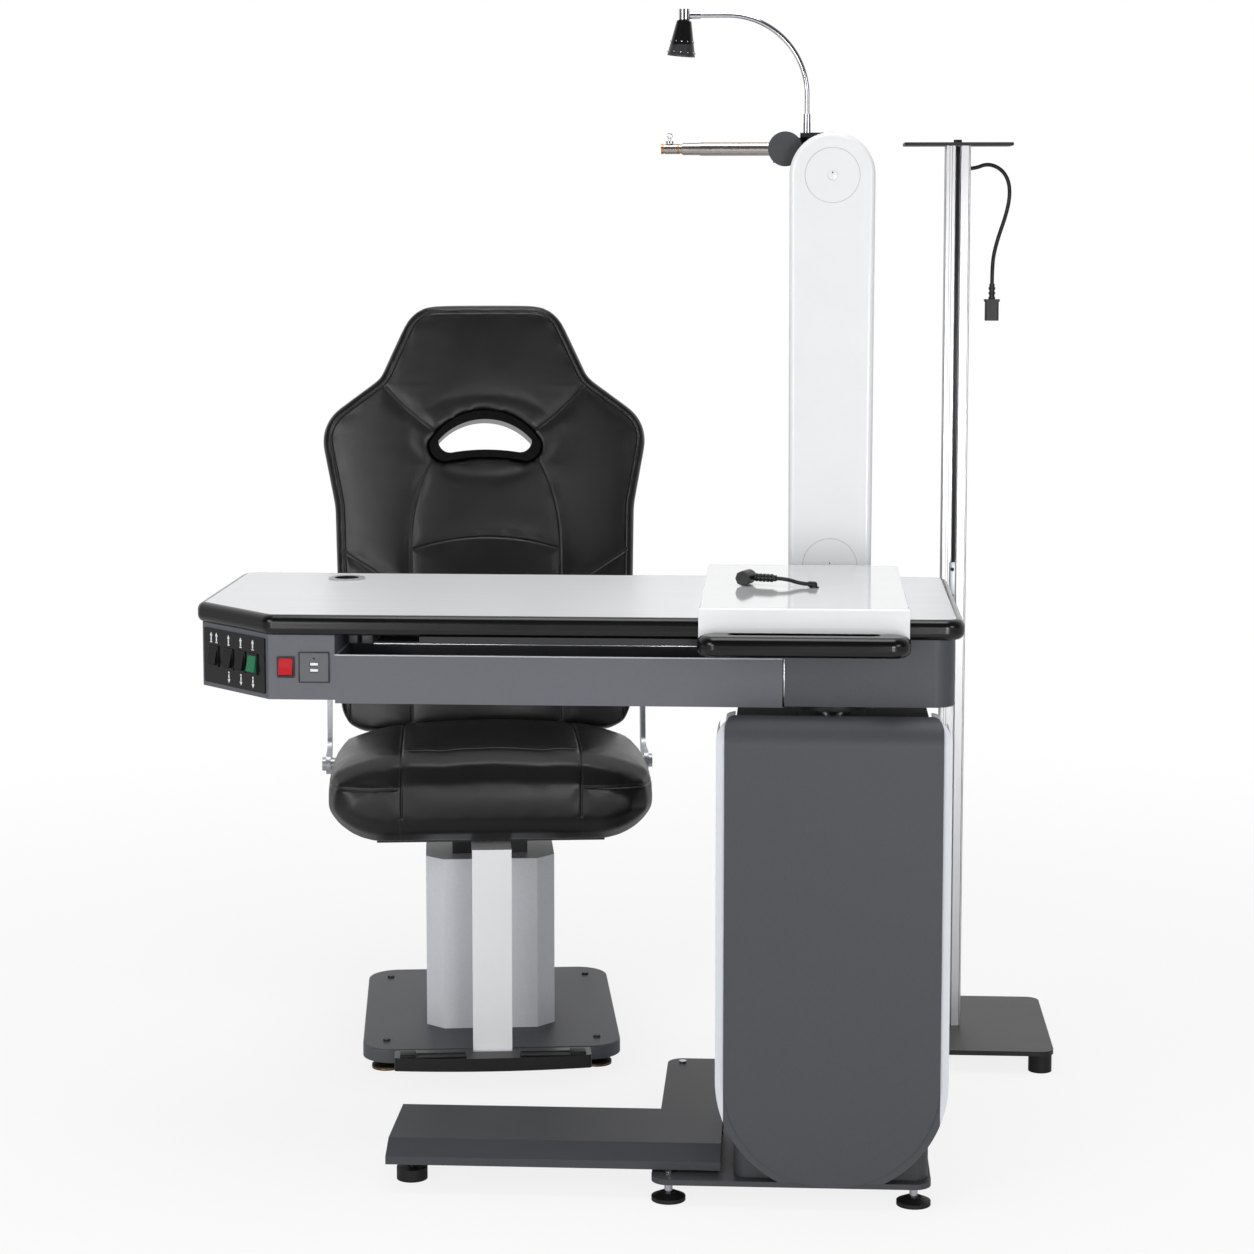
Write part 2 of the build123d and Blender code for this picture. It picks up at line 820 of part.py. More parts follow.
def rocker(with_wall):
    """Rocker key, rounded about its own pin, with its two faces raised in turn."""
    half = rocker_height / 2
    rise = with_wall + bezel_proud + rocker_proud
    outline = Polyline((-half, with_wall), (-half + rocker_draw, rise),
                       (0, rise - rocker_proud / 2), (half, rise - rocker_proud),
                       (half, with_wall), (0, -half / 2), close=True)
    key = extrude(Plane.YZ.offset(-rocker_width / 2) * make_face(outline), rocker_width)
    return key - Rot(0, 90, 0) * Cylinder(rocker_pin / 2, rocker_width + overrun)


def control_pieces():
    """Control box, its panel, switches and socket plate."""
    corners = [(-beam_left, -housing_front), (-control_left, -housing_front),
               (-control_far, -housing_front + control_skew), (-control_far, control_back),
               (-beam_left, control_back)]
    height = top_under - control_bottom
    shape = make_face(Polyline(*corners, close=True))
    box = Pos(0, 0, control_bottom) * extrude(shape, height)
    inside = offset(shape, -housing_wall, kind=Kind.INTERSECTION)
    box -= Pos(0, 0, control_bottom + housing_wall) * extrude(inside, height)
    face_length = beam_left - control_left

    panel = extrude(RectangleRounded(panel_width, panel_height, bezel_lip), panel_thickness)
    window = Rectangle(bezel_width - 2 * bezel_lip + 2 * fit_gap,
                       bezel_height - 2 * bezel_lip + 2 * fit_gap)
    keys, bezels = [], []
    for share in rocker_place_shares:
        place = Pos(share * panel_width, 0, 0)
        cut = Pos(0, 0, -overrun) * place * extrude(window, 2 * overrun)
        panel -= cut
        box -= angled_face * cut
        bezels.append(angled_face * place * rocker_bezel(panel_thickness))
        keys.append(angled_face * place * rocker(panel_thickness))
    panel = angled_face * panel

    power = Pos(-power_place_share * face_length, 0, 0)
    socket = Pos(-socket_place_share * face_length, 0, 0)
    box -= front_face * power * Pos(0, 0, -overrun) * extrude(window, 2 * overrun)
    hole = Rectangle(socket_plate - 4 * bezel_lip + 2 * fit_gap,
                     socket_plate - 4 * bezel_lip + 2 * fit_gap)
    box -= front_face * socket * Pos(0, 0, -overrun) * extrude(hole, 2 * overrun)
    bezels.append(front_face * power * rocker_bezel(0))
    keys.append(front_face * power * rocker(0))
    plate = extrude(RectangleRounded(socket_plate, socket_plate, bezel_lip), bezel_proud)
    plate += Pos(0, 0, -socket_depth) * extrude(
        Rectangle(socket_plate - 4 * bezel_lip, socket_plate - 4 * bezel_lip), socket_depth)
    for y in (socket_pitch / 2, -socket_pitch / 2):
        plate -= Pos(0, y, -socket_depth / 2) * extrude(
            Rectangle(socket_width, socket_slot_height), socket_depth)
    return {"control_box": box, "control_panel": panel, "switch_frames": Compound(bezels),
            "charging_socket": front_face * socket * plate,
            "rocker_chair": keys[0], "rocker_table": keys[1], "rocker_projector": keys[2],
            "rocker_lamp": keys[3], "rocker_power": keys[4]}


def table_outline(inset):
    """Plan of the table top, drawn in by inset on every side."""
    corners = [(-top_left + chamfer_width, -top_front, chamfer_round),
               (top_right, -top_front, top_corner), (top_right, top_back, top_corner),
               (-top_left, top_back, top_corner),
               (-top_left, -top_front + chamfer_depth, chamfer_round)]
    return rounded_polygon(corners, inset)


def table_pieces():
    """Table top, its edge band and the cable grommet."""
    board = Pos(0, 0, top_under) * extrude(table_outline(band_width), top_thickness)
    hole = rod_z(grommet_bore + 2 * grommet_wall + 2 * fit_gap, 0, top_height + overrun,
                 -grommet_x, grommet_y)
    board -= hole
    band = Pos(0, 0, top_under) * extrude(table_outline(0), top_thickness)
    rims = [edge for edge in band.edges() if edge.center().Z > top_height - run_gap
            or edge.center().Z < top_under + run_gap]
    band = fillet(rims, band_round)
    band -= Pos(0, 0, top_under - overrun) * extrude(table_outline(band_width),
                                                     top_thickness + 2 * overrun)
    ring = rod_z(grommet_bore + 2 * grommet_wall, top_under, top_height, -grommet_x, grommet_y)
    ring += rod_z(grommet_flange, top_height, top_height + grommet_flange_height, -grommet_x,
                  grommet_y)
    ring -= rod_z(grommet_bore, 0, top_height + overrun, -grommet_x, grommet_y)
    return {"tabletop": board, "edge_band": band, "cable_grommet": ring}


gland_place = Pos(gland_x, gland_y, tray_top + gland_height) * Rot(0, 0, gland_turn)
plug_place = Pos(-tray_plug_x, tray_plug_y, tray_top + tray_plug_lift) * Rot(
    0, 0, -tray_plug_turn)


def tray_pieces():
    """Sliding instrument tray with its runners, handle and the gland of its lead."""
    left, right = -tray_left, -tray_left + tray_width
    shell = slab(left, right, -tray_front, tray_back, tray_bottom, tray_top)
    shell = fillet(shell.edges().group_by(Axis.Z)[-1], tray_corner)
    shell -= slab(left + tray_wall, right - tray_wall, -tray_front + tray_wall,
                  tray_back - tray_wall, tray_bottom - overrun, tray_top - tray_wall)
    shell -= slab(left - overrun, right + overrun, -tray_front + tray_wall,
                  tray_back - tray_wall, tray_bottom - overrun, top_height + slide_gap)
    shell -= rod_z(gland_thread, tray_top - overrun, tray_top + overrun, gland_x, gland_y)

    runners = []
    for y in (-tray_front + tray_wall + glide_inset, tray_back - tray_wall - glide_inset
              - glide_width):
        runners.append(slab(left + glide_inset, right - glide_inset, y, y + glide_width,
                            top_height + run_gap, tray_top - tray_wall))
    rail_bottom = top_under - rail_height
    shoes = ((-tray_front + tray_wall, -top_front + rail_inset + rail_width),
             (top_back - rail_inset - rail_width, tray_back - tray_wall))
    for y0, y1 in shoes:
        for x in (left + glide_inset, right - glide_inset - shoe_length):
            runners.append(slab(x, x + shoe_length, y0, y1, rail_bottom - shoe_height,
                                rail_bottom - slide_gap))

    y_back = -tray_front
    middle = (left + right) / 2
    ring = round_slab(middle - handle_length / 2, middle + handle_length / 2,
                      y_back - handle_reach, y_back, handle_top - handle_thickness, handle_top,
                      handle_reach / 2 - fit_gap)
    ring += slab(middle - handle_slot_length / 2, middle + handle_slot_length / 2,
                 y_back - handle_reach / 2, y_back, handle_top - handle_thickness, handle_top)
    ring = fillet(ring.edges().group_by(Axis.Z)[-1] + ring.edges().group_by(Axis.Z)[0],
                  handle_round)
    ring -= slab(left - overrun, right + overrun, y_back, y_back + overrun, tray_bottom, tray_top)
    slot = RectangleRounded(handle_slot_length, handle_slot_width, handle_slot_width / 2 - fit_gap)
    ring -= Pos(middle, y_back - handle_slot_back - handle_slot_width / 2, tray_bottom - overrun) \
        * extrude(slot, handle_thickness + 3 * overrun)

    gland = rod_z(gland_diameter, tray_top, tray_top + gland_flange, gland_x, gland_y)
    gland += rod_z(gland_thread, tray_top - tray_wall - gland_nut_height, tray_top, gland_x,
                   gland_y)
    gland += rod_z(gland_diameter, tray_top - tray_wall - gland_nut_height,
                   tray_top - tray_wall, gland_x, gland_y)
    nozzle = rod_z(nozzle_diameter, -gland_height, 0) + Sphere(nozzle_diameter / 2)
    nozzle += rod_x(nozzle_diameter, 0, nozzle_length, 0, 0)
    gland += gland_place * nozzle
    return {"tray_shell": shell, "tray_runners": Compound(runners),
            "tray_handle": ring, "tray_gland": gland}


def arm_pieces():
    """Arm bracket, arm covers, spine and the levelling link."""
    low, high = (0, arm_low, arm_radius_low), (0, arm_high, arm_radius_high)
    arm_back = arm_front + arm_depth
    outline = stadium(*low, *high)
    cover = upright(outline, arm_front, arm_back)
    cover = fillet(cover.faces().sort_by(Axis.Y)[0].edges(), arm_edge)
    inner = stadium(0, arm_low, arm_radius_low - arm_wall, 0, arm_high,
                    arm_radius_high - arm_wall)
    cover -= upright(inner, arm_front + arm_wall, arm_back + overrun)
    caps = []
    for z in (arm_low, arm_high):
        cover -= rod_y(arm_cap_diameter + 2 * fit_gap, arm_front - overrun,
                       arm_front + arm_wall + fit_gap, 0, z)
        caps.append(rod_y(arm_cap_diameter, arm_front, arm_front + arm_wall, 0, z)
                    + rod_y(arm_cap_diameter + 2 * arm_cap_rim, arm_front + arm_wall,
                            arm_front + arm_wall + arm_cap_rim_thickness, 0, z))

    plate_back = arm_back + spine_plate
    spine = upright(outline, arm_back, plate_back)
    for z in (arm_low, arm_high):
        spine += rod_y(boss_diameter, plate_back - boss_length, plate_back, 0, z)
    web = boss_diameter / 2 - arm_wall
    spine += slab(-web, web, arm_back - boss_length / 2, arm_back, arm_low, arm_high)
    for z in (arm_low, arm_high):
        spine -= rod_y(pivot_diameter + 2 * run_gap, arm_front, plate_back + overrun, 0, z)

    lever_back = plate_back - boss_length - slide_gap
    lever_front = lever_back - lever_thickness
    bracket_front = plate_back + bracket_gap

    def lever(z, pin):
        """Fixed lever inside the arm, with the pin that carries the link."""
        body = upright(stadium(0, z, pivot_diameter / 2, lever_offset, z, lever_end / 2),
                       lever_front, lever_back)
        body += rod_y(pin, lever_front - lever_pin_length, lever_front, lever_offset, z)
        return body + rod_y(pivot_diameter, lever_back, bracket_front, 0, z)

    bracket = slab(-bracket_bar_half, bracket_bar_half, housing_back,
                   bracket_front + bracket_plate, bracket_bar_bottom, bracket_bar_top)
    bracket -= slab(-bracket_bar_half + arm_wall, bracket_bar_half - arm_wall,
                    housing_back - overrun, bracket_front - overrun,
                    bracket_bar_bottom + arm_wall, bracket_bar_top - arm_wall)
    bracket += slab(-bracket_half, bracket_half, bracket_front, bracket_front + bracket_plate,
                    bracket_bar_bottom, arm_low)
    bracket += rod_y(2 * bracket_half, bracket_front, bracket_front + bracket_plate, 0, arm_low)
    bracket += lever(arm_low, lever_pin)

    link_back = lever_front - slide_gap
    link_front = link_back - link_thickness
    link = upright(stadium(lever_offset, arm_low, link_width / 2, lever_offset, arm_high,
                           link_width / 2 - run_gap), link_front, link_back)
    for z in (arm_low, arm_high):
        link -= rod_y(lever_pin + 2 * run_gap, link_front - overrun, link_back + overrun,
                      lever_offset, z)
    pieces = {"arm_bracket": bracket, "arm_cover": Compound([cover, *caps]),
              "arm_spine": spine, "level_link": link}
    return pieces, lever(arm_high, lever_pin - 2 * open_pin_slack)


plate_back = arm_front + arm_depth + spine_plate
head_front = plate_back + bracket_gap
head_back = head_front + head_plate
swing_y = head_back + swing_inset
drum_front = head_front + 2 * fit_gap
drum_back = drum_front + drum_thickness


def head_block(lever):
    """Level head: boss on the upper pivot, web, and two ears round the swing pin."""
    outline = Pos(0, arm_high) * Circle(head_boss / 2)
    outline += Pos(-(plate_left + web_right) / 2, (arm_high + head_top) / 2) * Rectangle(
        plate_left - web_right, head_top - arm_high)
    block = upright(outline, head_front, head_back)
    block += rod_y(pivot_diameter, head_front - bracket_gap, head_front, 0, arm_high)
    block += slab(-web_left, -web_right, head_back, head_back + ear_depth, head_bottom, head_top)
    for z0, z1 in ((head_bottom, head_bottom + ear_thickness), (head_top - ear_thickness,
                                                               head_top)):
        block += slab(-ear_left, -web_right, head_back, head_back + ear_depth, z0, z1)
    block -= rod_z(swing_pin_diameter, 0, head_top + overrun, swing_x, swing_y)
    return block + lever


def rod_pieces():
    """Swing pin, knuckle, tilt drum, instrument rod and its ring screw."""
    pin = rod_z(swing_pin_diameter, head_bottom, head_top, swing_x, swing_y)
    pin += rod_z(post_diameter, head_top, post_top, swing_x, swing_y)
    z0, z1 = head_bottom + ear_thickness + slide_gap, head_top - ear_thickness - slide_gap
    knuckle = rod_z(knuckle_round, z0, z1, swing_x, swing_y)
    front = drum_back + slide_gap
    knuckle += slab(-knuckle_left, swing_x, front, front + knuckle_depth, z0, z1)
    knuckle -= rod_z(swing_pin_diameter + 2 * run_gap, 0, head_top, swing_x, swing_y)
    knuckle -= rod_y(journal_diameter + 2 * run_gap, front - overrun, front + journal_length,
                     drum_x, drum_height)

    drum = rod_y(drum_diameter, drum_front, drum_back, drum_x, drum_height)
    rod_y_place = (drum_front + drum_back) / 2
    drum += rod_y(journal_diameter, drum_back, drum_back + journal_length, drum_x, drum_height)
    drum -= rod_x(rod_diameter, -drum_diameter * 2, -rod_start, rod_y_place, drum_height)

    rod = rod_x(rod_diameter, -rod_step, -rod_start, rod_y_place, drum_height)
    rod += rod_x(rod_neck_diameter, -rod_neck, -rod_step, rod_y_place, drum_height)
    rod += rod_x(rod_end_diameter, -rod_tip, -rod_neck, rod_y_place, drum_height)
    for x in (-rod_tip + 2 * rod_groove_width, -rod_neck - 2 * rod_groove_width):
        groove = rod_x(rod_end_diameter, x, x + rod_groove_width, rod_y_place, drum_height)
        rod -= groove - rod_x(rod_end_diameter - 2 * rod_groove, x, x + rod_groove_width,
                              rod_y_place, drum_height)
    rod -= rod_z(screw_stem + 2 * run_gap, drum_height + rod_end_diameter / 2 - screw_depth,
                 head_top, -screw_x, rod_y_place)

    seat_z = drum_height + rod_end_diameter / 2
    screw = rod_z(screw_stem, seat_z - screw_depth, seat_z + screw_collar_height, -screw_x,
                  rod_y_place)
    screw += rod_z(screw_collar, seat_z + slide_gap, seat_z + screw_collar_height, -screw_x,
                   rod_y_place)
    screw += rod_z(screw_stem, seat_z + screw_collar_height,
                   seat_z + screw_collar_height + screw_stem_rise, -screw_x, rod_y_place)
    ring_z = seat_z + screw_collar_height + screw_stem_rise + screw_ring / 2 - screw_wire / 2
    screw += Pos(-screw_x, rod_y_place, ring_z) * Rot(90, 0, 0) * Torus(
        (screw_ring - screw_wire) / 2, screw_wire / 2)
    return {"swing_pin": pin, "rod_knuckle": knuckle, "tilt_drum": drum,
            "instrument_rod": rod, "ring_screw": screw}


neck_top = post_top + neck_straight + neck_bend
lamp_x = swing_x - neck_bend - (neck_reach - neck_bend) - neck_sleeve_length - lamp_body / 2


def lamp_pieces():
    """Swan neck, lamp head with its shade, and the lens."""
    foot = Vector(swing_x, swing_y, post_top)
    bend_start = foot + Vector(0, 0, neck_straight)
    bend_end = bend_start + Vector(-neck_bend, 0, neck_bend)
    tip = bend_end + Vector(neck_bend - neck_reach, 0, 0)
    diagonal = neck_bend * (1 - math.sqrt(2) / 2)
    middle = bend_start + Vector(-diagonal, 0, neck_bend - diagonal)
    path = Line(foot, bend_start) + ThreePointArc(bend_start, middle, bend_end) \
        + Line(bend_end, tip)
    neck = sweep(Plane(origin=foot, z_dir=(0, 0, 1)) * Circle(neck_diameter / 2), path=path)
    neck += rod_z(neck_ferrule, post_top, post_top + neck_ferrule_height, swing_x, swing_y)
    sleeve = rod_x(neck_sleeve, tip.X - neck_sleeve_length, tip.X, swing_y, neck_top)
    neck += sleeve
    neck -= rod_x(lamp_stub + 2 * run_gap, tip.X - neck_sleeve_length - overrun,
                  tip.X - neck_sleeve_length + lamp_stub_length, swing_y, neck_top)

    head = rod_z(lamp_body, neck_top - lamp_body_drop, neck_top - lamp_body_drop
                 + lamp_body_height, lamp_x, swing_y)
    head += rod_x(lamp_stub, lamp_x, tip.X - neck_sleeve_length + lamp_stub_length - slide_gap,
                  swing_y, neck_top)
    drop = neck_top - lamp_body_drop
    cone = Pos(0, 0, -shade_height / 2) * Cone(shade_diameter / 2, shade_top_diameter / 2,
                                               shade_height)
    hollow = Pos(0, 0, -shade_height / 2 - shade_wall) * Cone(
        shade_diameter / 2 - shade_wall, shade_top_diameter / 2 - shade_wall, shade_height)
    cone -= hollow
    leaning = Pos(lamp_x, swing_y, drop) * Rot(0, shade_lean, 0)
    head += leaning * cone
    lens = hollow & slab(-shade_diameter, shade_diameter, -shade_diameter, shade_diameter,
                         -shade_height + lens_inset, -shade_height + lens_inset + lens_thickness)
    lens = leaning * lens
    return {"swan_neck": neck, "lamp_head": head, "lamp_lens": lens}


column_y = -column_back_shift


def chair_frame_pieces():
    """Chair base, column, lift tube with its seat plate, and the foot bar."""
    half_w, half_d = chair_base_width / 2, chair_base_depth / 2
    base = round_slab(-half_w, half_w, -half_d, half_d, chair_under, chair_base_top,
                      chair_base_corner)
    base = fillet(base.edges().group_by(Axis.Z)[-1], chair_base_edge)
    for x in (-chair_foot_half, chair_foot_half):
        for y in (-chair_foot_reach, chair_foot_reach):
            base -= rod_z(stud_diameter + 2 * fit_gap, 0, chair_base_top + overrun, x, y)

    def faceted(inset, z0, z1):
        """Column section with its four corners cut off."""
        block = Pos(0, column_y, (z0 + z1) / 2) * Box(column_width - 2 * inset,
                                                     column_depth - 2 * inset, z1 - z0)
        return chamfer(block.edges().filter_by(Axis.Z), column_chamfer)

    column = faceted(0, chair_base_top, column_top)
    column -= faceted(column_wall, chair_base_top - overrun, column_top - 2 * column_wall)
    column -= Pos(0, column_y, column_top) * Box(inner_width + 2 * run_gap,
                                                 inner_depth + 2 * run_gap, 4 * overrun)

    plate_under = seat_plate_top - seat_plate_thickness
    motor = rod_z(actuator_diameter, chair_base_top, column_top - 2 * overrun, 0, column_y)
    motor += slab(-gearbox_depth / 2, gearbox_depth / 2, column_y - motor_diameter / 2,
                  column_y + motor_diameter / 2, chair_base_top, inner_bottom - slide_gap)
    motor -= rod_z(plunger_diameter + 2 * run_gap, inner_bottom + overrun, column_top, 0,
                   column_y)

    lift = Pos(0, column_y, (inner_bottom + plate_under) / 2) * Box(
        inner_width, inner_depth, plate_under - inner_bottom)
    lift -= Pos(0, column_y, (inner_bottom + plate_under) / 2 - 2 * inner_wall) * Box(
        inner_width - 2 * inner_wall, inner_depth - 2 * inner_wall, plate_under - inner_bottom)
    lift += rod_z(plunger_diameter, inner_bottom + 2 * overrun, plate_under, 0, column_y)
    lift += slab(-seat_plate_width / 2, seat_plate_width / 2, column_y - seat_plate_depth / 2,
                 column_y + seat_plate_depth / 2, plate_under, seat_plate_top)

    bar = slab(-bar_width / 2, bar_width / 2, -bar_front, -bar_front + bar_thickness,
               bar_bottom, plate_under)
    bar += slab(-bar_width / 2, bar_width / 2, -bar_front, -bar_front + bar_tongue,
                plate_under - bar_thickness, plate_under)
    hinge_z = rest_bar_bottom + rest_bar_thickness / 2
    barrel_half = bar_width / 2
    bar += slab(-barrel_half, barrel_half, -hinge_y, -bar_front + bar_thickness,
                hinge_z - hinge_barrel / 2, hinge_z + hinge_barrel / 2)
    bar += slab(-barrel_half, barrel_half, -bar_front, -bar_front + bar_thickness, hinge_z,
                bar_bottom + overrun)
    bar += rod_x(hinge_barrel, -barrel_half, barrel_half, -hinge_y, hinge_z)
    bar += rod_x(hinge_pin, -hinge_pin_half, hinge_pin_half, -hinge_y, hinge_z)
    return {"chair_base": base, "chair_column": column, "chair_lift_motor": motor,
            "chair_lift_tube": lift, "foot_bar": bar}


def footrest_piece():
    """Foot rest with a bowed front, a notch round the hinge and two rubber blocks."""
    half = rest_bar_width / 2
    outline = make_face([Line((-half, -rest_bar_back), (half, -rest_bar_back)),
                         Line((half, -rest_bar_back), (half, -rest_bar_front + rest_bar_bow)),
                         ThreePointArc((half, -rest_bar_front + rest_bar_bow),
                                       (0, -rest_bar_front),
                                       (-half, -rest_bar_front + rest_bar_bow)),
                         Line((-half, -rest_bar_front + rest_bar_bow), (-half, -rest_bar_back))])
    rest = Pos(0, 0, rest_bar_bottom) * extrude(outline, rest_bar_thickness)
    front = rest.edges().filter_by(Axis.Z)
    rest = fillet(front, rest_bar_edge)
    notch = bar_width / 2 + notch_slack
    hinge_z = rest_bar_bottom + rest_bar_thickness / 2
    rest -= slab(-notch, notch, -hinge_y - hinge_barrel / 2 - notch_slack, 0,
                 rest_bar_bottom - overrun, rest_bar_bottom + rest_bar_thickness + overrun)
    rest -= rod_x(hinge_pin + 2 * run_gap, -hinge_pin_half - slide_gap,
                  hinge_pin_half + slide_gap, -hinge_y, hinge_z)
    return rest


def seat_section(y, half, bottom, side, crown):
    """Closed outline across the cushion: flat base, rounded sides and three sewn panels."""
    panel = half * seat_panel_share
    dip = crown - (crown - side) * seat_dip_share
    flank = (half + panel) / 2
    flank_top = side + (crown - side) * seat_flank_share
    sides_out = half * seat_bulge_share
    waist = (bottom + side) / 2
    foot = half * seat_foot_share
    corner = (half * seat_corner_share, bottom + (waist - bottom) * seat_corner_rise_share)
    cheek = (sides_out - (sides_out - half) / 4, (waist + side) / 2)
    edges = [Line((-foot, bottom), (foot, bottom)),
             ThreePointArc((foot, bottom), corner, (sides_out, waist)),
             ThreePointArc((sides_out, waist), cheek, (half, side)),
             ThreePointArc((half, side), (flank, flank_top), (panel, dip)),
             ThreePointArc((panel, dip), (0, crown), (-panel, dip)),
             ThreePointArc((-panel, dip), (-flank, flank_top), (-half, side)),
             ThreePointArc((-half, side), (-cheek[0], cheek[1]), (-sides_out, waist)),
             ThreePointArc((-sides_out, waist), (-corner[0], corner[1]), (-foot, bottom))]
    return Plane.XZ.offset(-y) * make_face(edges)


def seat_piece():
    """Seat cushion, lofted from its rounded front to its rear."""
    length = seat_front + seat_back
    floor = seat_plate_top + seat_gap
    height = seat_crown - floor
    sections = []
    for along, wide, low, side, high in seat_row_shares:
        sections.append(seat_section(-seat_front + along * length, wide * seat_width / 2,
                                     floor + low * height, floor + side * height,
                                     floor + high * height))
    return loft(sections, ruled=True)


def back_outline(inset):
    """Front outline of the backrest in its own plane, drawn in by inset."""
    right = [(back_top_half, back_top), (back_neck_half, back_neck),
             (back_shoulder_half, back_shoulder), (back_waist_half, back_waist),
             (back_foot_half, 0)]
    radii = [share * back_top_half for share in back_corner_shares]
    corners = [(x, z, radius) for (x, z), radius in zip(right, radii)]
    mirrored = [(-x, z, radius) for x, z, radius in reversed(corners)]
    return rounded_polygon(corners + mirrored, inset)


back_place = Pos(0, back_foot_y, back_foot_z) * Rot(-back_lean, 0, 0)


def grip_outline(inset):
    """D-shaped outline of the hand hole, drawn in by inset."""
    half = grip_width / 2 - inset
    low, high = grip_centre - grip_height / 2 + inset, grip_centre + grip_height / 2 - inset
    shoulder = low + (high - low) * grip_shoulder_share
    corner = (half * grip_corner_share, low + (shoulder - low) * grip_corner_rise_share)
    foot = half * grip_floor_share
    sag = low + (high - low) * grip_sag_share / 2
    edges = [ThreePointArc((-half, shoulder), (0, high), (half, shoulder)),
             ThreePointArc((half, shoulder), corner, (foot, low)),
             ThreePointArc((foot, low), (0, sag), (-foot, low)),
             ThreePointArc((-foot, low), (-corner[0], corner[1]), (-half, shoulder))]
    return make_face(edges)


def seam_bands():
    """Sewn lines on the front of the backrest, as flat bands in its own plane."""
    grip_half, grip_low = grip_width / 2, grip_centre - grip_height / 2
    bands = [back_outline(border_inset) - back_outline(border_inset + seam_width),
             arc_band((-side_seam_half, arch_low), (0, arch_high), (side_seam_half, arch_low),
                      seam_width)]
    for side in (-1, 1):
        neck_end = (side * neck_seam_half, neck_seam_height)
        grip_end = (side * (grip_half - grip_wall), grip_centre)
        halfway = ((neck_end[0] + grip_end[0]) / 2 - side * seam_depth,
                   (neck_end[1] + grip_end[1]) / 2)
        bands.append(arc_band(neck_end, halfway, grip_end, seam_width))
        bands.append(arc_band((side * (grip_half - grip_wall), grip_low),
                              (side * side_seam_middle, (grip_low + arch_low) / 2),
                              (side * side_seam_half, arch_low), seam_width))
        bands.append(trace(Line((side * side_seam_half, arch_low), (side * side_seam_half, 0)),
                           seam_width))
        bands.append(trace(Line((side * flank_seam_half, flank_seam_height),
                                (side * side_seam_half, flank_seam_foot)), seam_width))
    return bands


def back_pieces():
    """Backrest cushion and the ring of its hand hole."""
    body = upright(back_outline(0), 0, back_thickness)
    body &= Pos(0, back_crown_radius, 0) * Cylinder(back_crown_radius, 4 * back_top)
    body = fillet(body.faces().sort_by(Axis.Y)[-1].edges(), back_edge)
    body = fillet(body.faces().sort_by(Axis.Y)[0].edges(), back_front_edge)
    body -= upright(grip_outline(0), -overrun, back_thickness + overrun)
    core = Pos(0, back_crown_radius, 0) * Cylinder(back_crown_radius - seam_depth, 4 * back_top)
    for band in seam_bands():
        body -= upright(band, -overrun, back_thickness / 2) - core
    ring = upright(grip_outline(seat_gap), -grip_proud, back_thickness + grip_proud)
    ring -= upright(grip_outline(grip_wall), -overrun, back_thickness + overrun)
    return {"backrest": back_place * body, "grip_ring": back_place * ring}


def bracket_pieces(seat, back):
    """Bent steel straps with spacers and round bolts, one on each side; also the cushions
    with their bolt holes.
    """
    pieces = []
    half = side_strap / 2
    for side in (-1, 1):
        inner = side * side_strap_x
        outer = inner + side * side_strap_thickness
        bend = (high_bolt_y - strap_bend / 2, low_bolt_z)
        strap = trace(FilletPolyline((low_bolt_y, low_bolt_z), bend, (high_bolt_y, high_bolt_z),
                                     radius=strap_bend), side_strap)
        for y, z in ((low_bolt_y, low_bolt_z), (high_bolt_y, high_bolt_z)):
            strap += Pos(y, z) * Circle(half)
        strap = extrude(Plane.YZ.offset(min(inner, outer)) * strap, side_strap_thickness)
        tip = outer + side * bolt_height
        for y, z, cushion in ((low_bolt_y, low_bolt_z, seat), (high_bolt_y, high_bolt_z, back)):
            reach = inner - side * spacer_reach
            spacer = rod_x(spacer_diameter, min(reach, inner), max(reach, inner), y, z) - cushion
            strap += Pos(side * seat_gap, 0, 0) * spacer.solids().sort_by_distance(
                (inner, y, z))[0]
            shank = inner - side * (spacer_reach + bolt_shank)
            bolt = rod_x(bolt_core, min(shank, outer), max(shank, outer), y, z)
            strap -= bolt
            pieces.append(rod_x(bolt_diameter, min(outer, tip), max(outer, tip), y, z) + bolt)
        pieces.append(strap)
    holes = {}
    for name, cushion, y, z in (("seat_cushion", seat, low_bolt_y, low_bolt_z),
                                ("backrest", back, high_bolt_y, high_bolt_z)):
        for side in (-1, 1):
            shank = side * (side_strap_x - spacer_reach - bolt_shank - seat_gap)
            cushion -= rod_x(bolt_core + 2 * seat_gap, min(shank, side * side_strap_x),
                             max(shank, side * side_strap_x), y, z)
        holes[name] = cushion
    return {"back_brackets": Compound(pieces), **holes}


slot_floor = pole_size / 2 - slot_depth


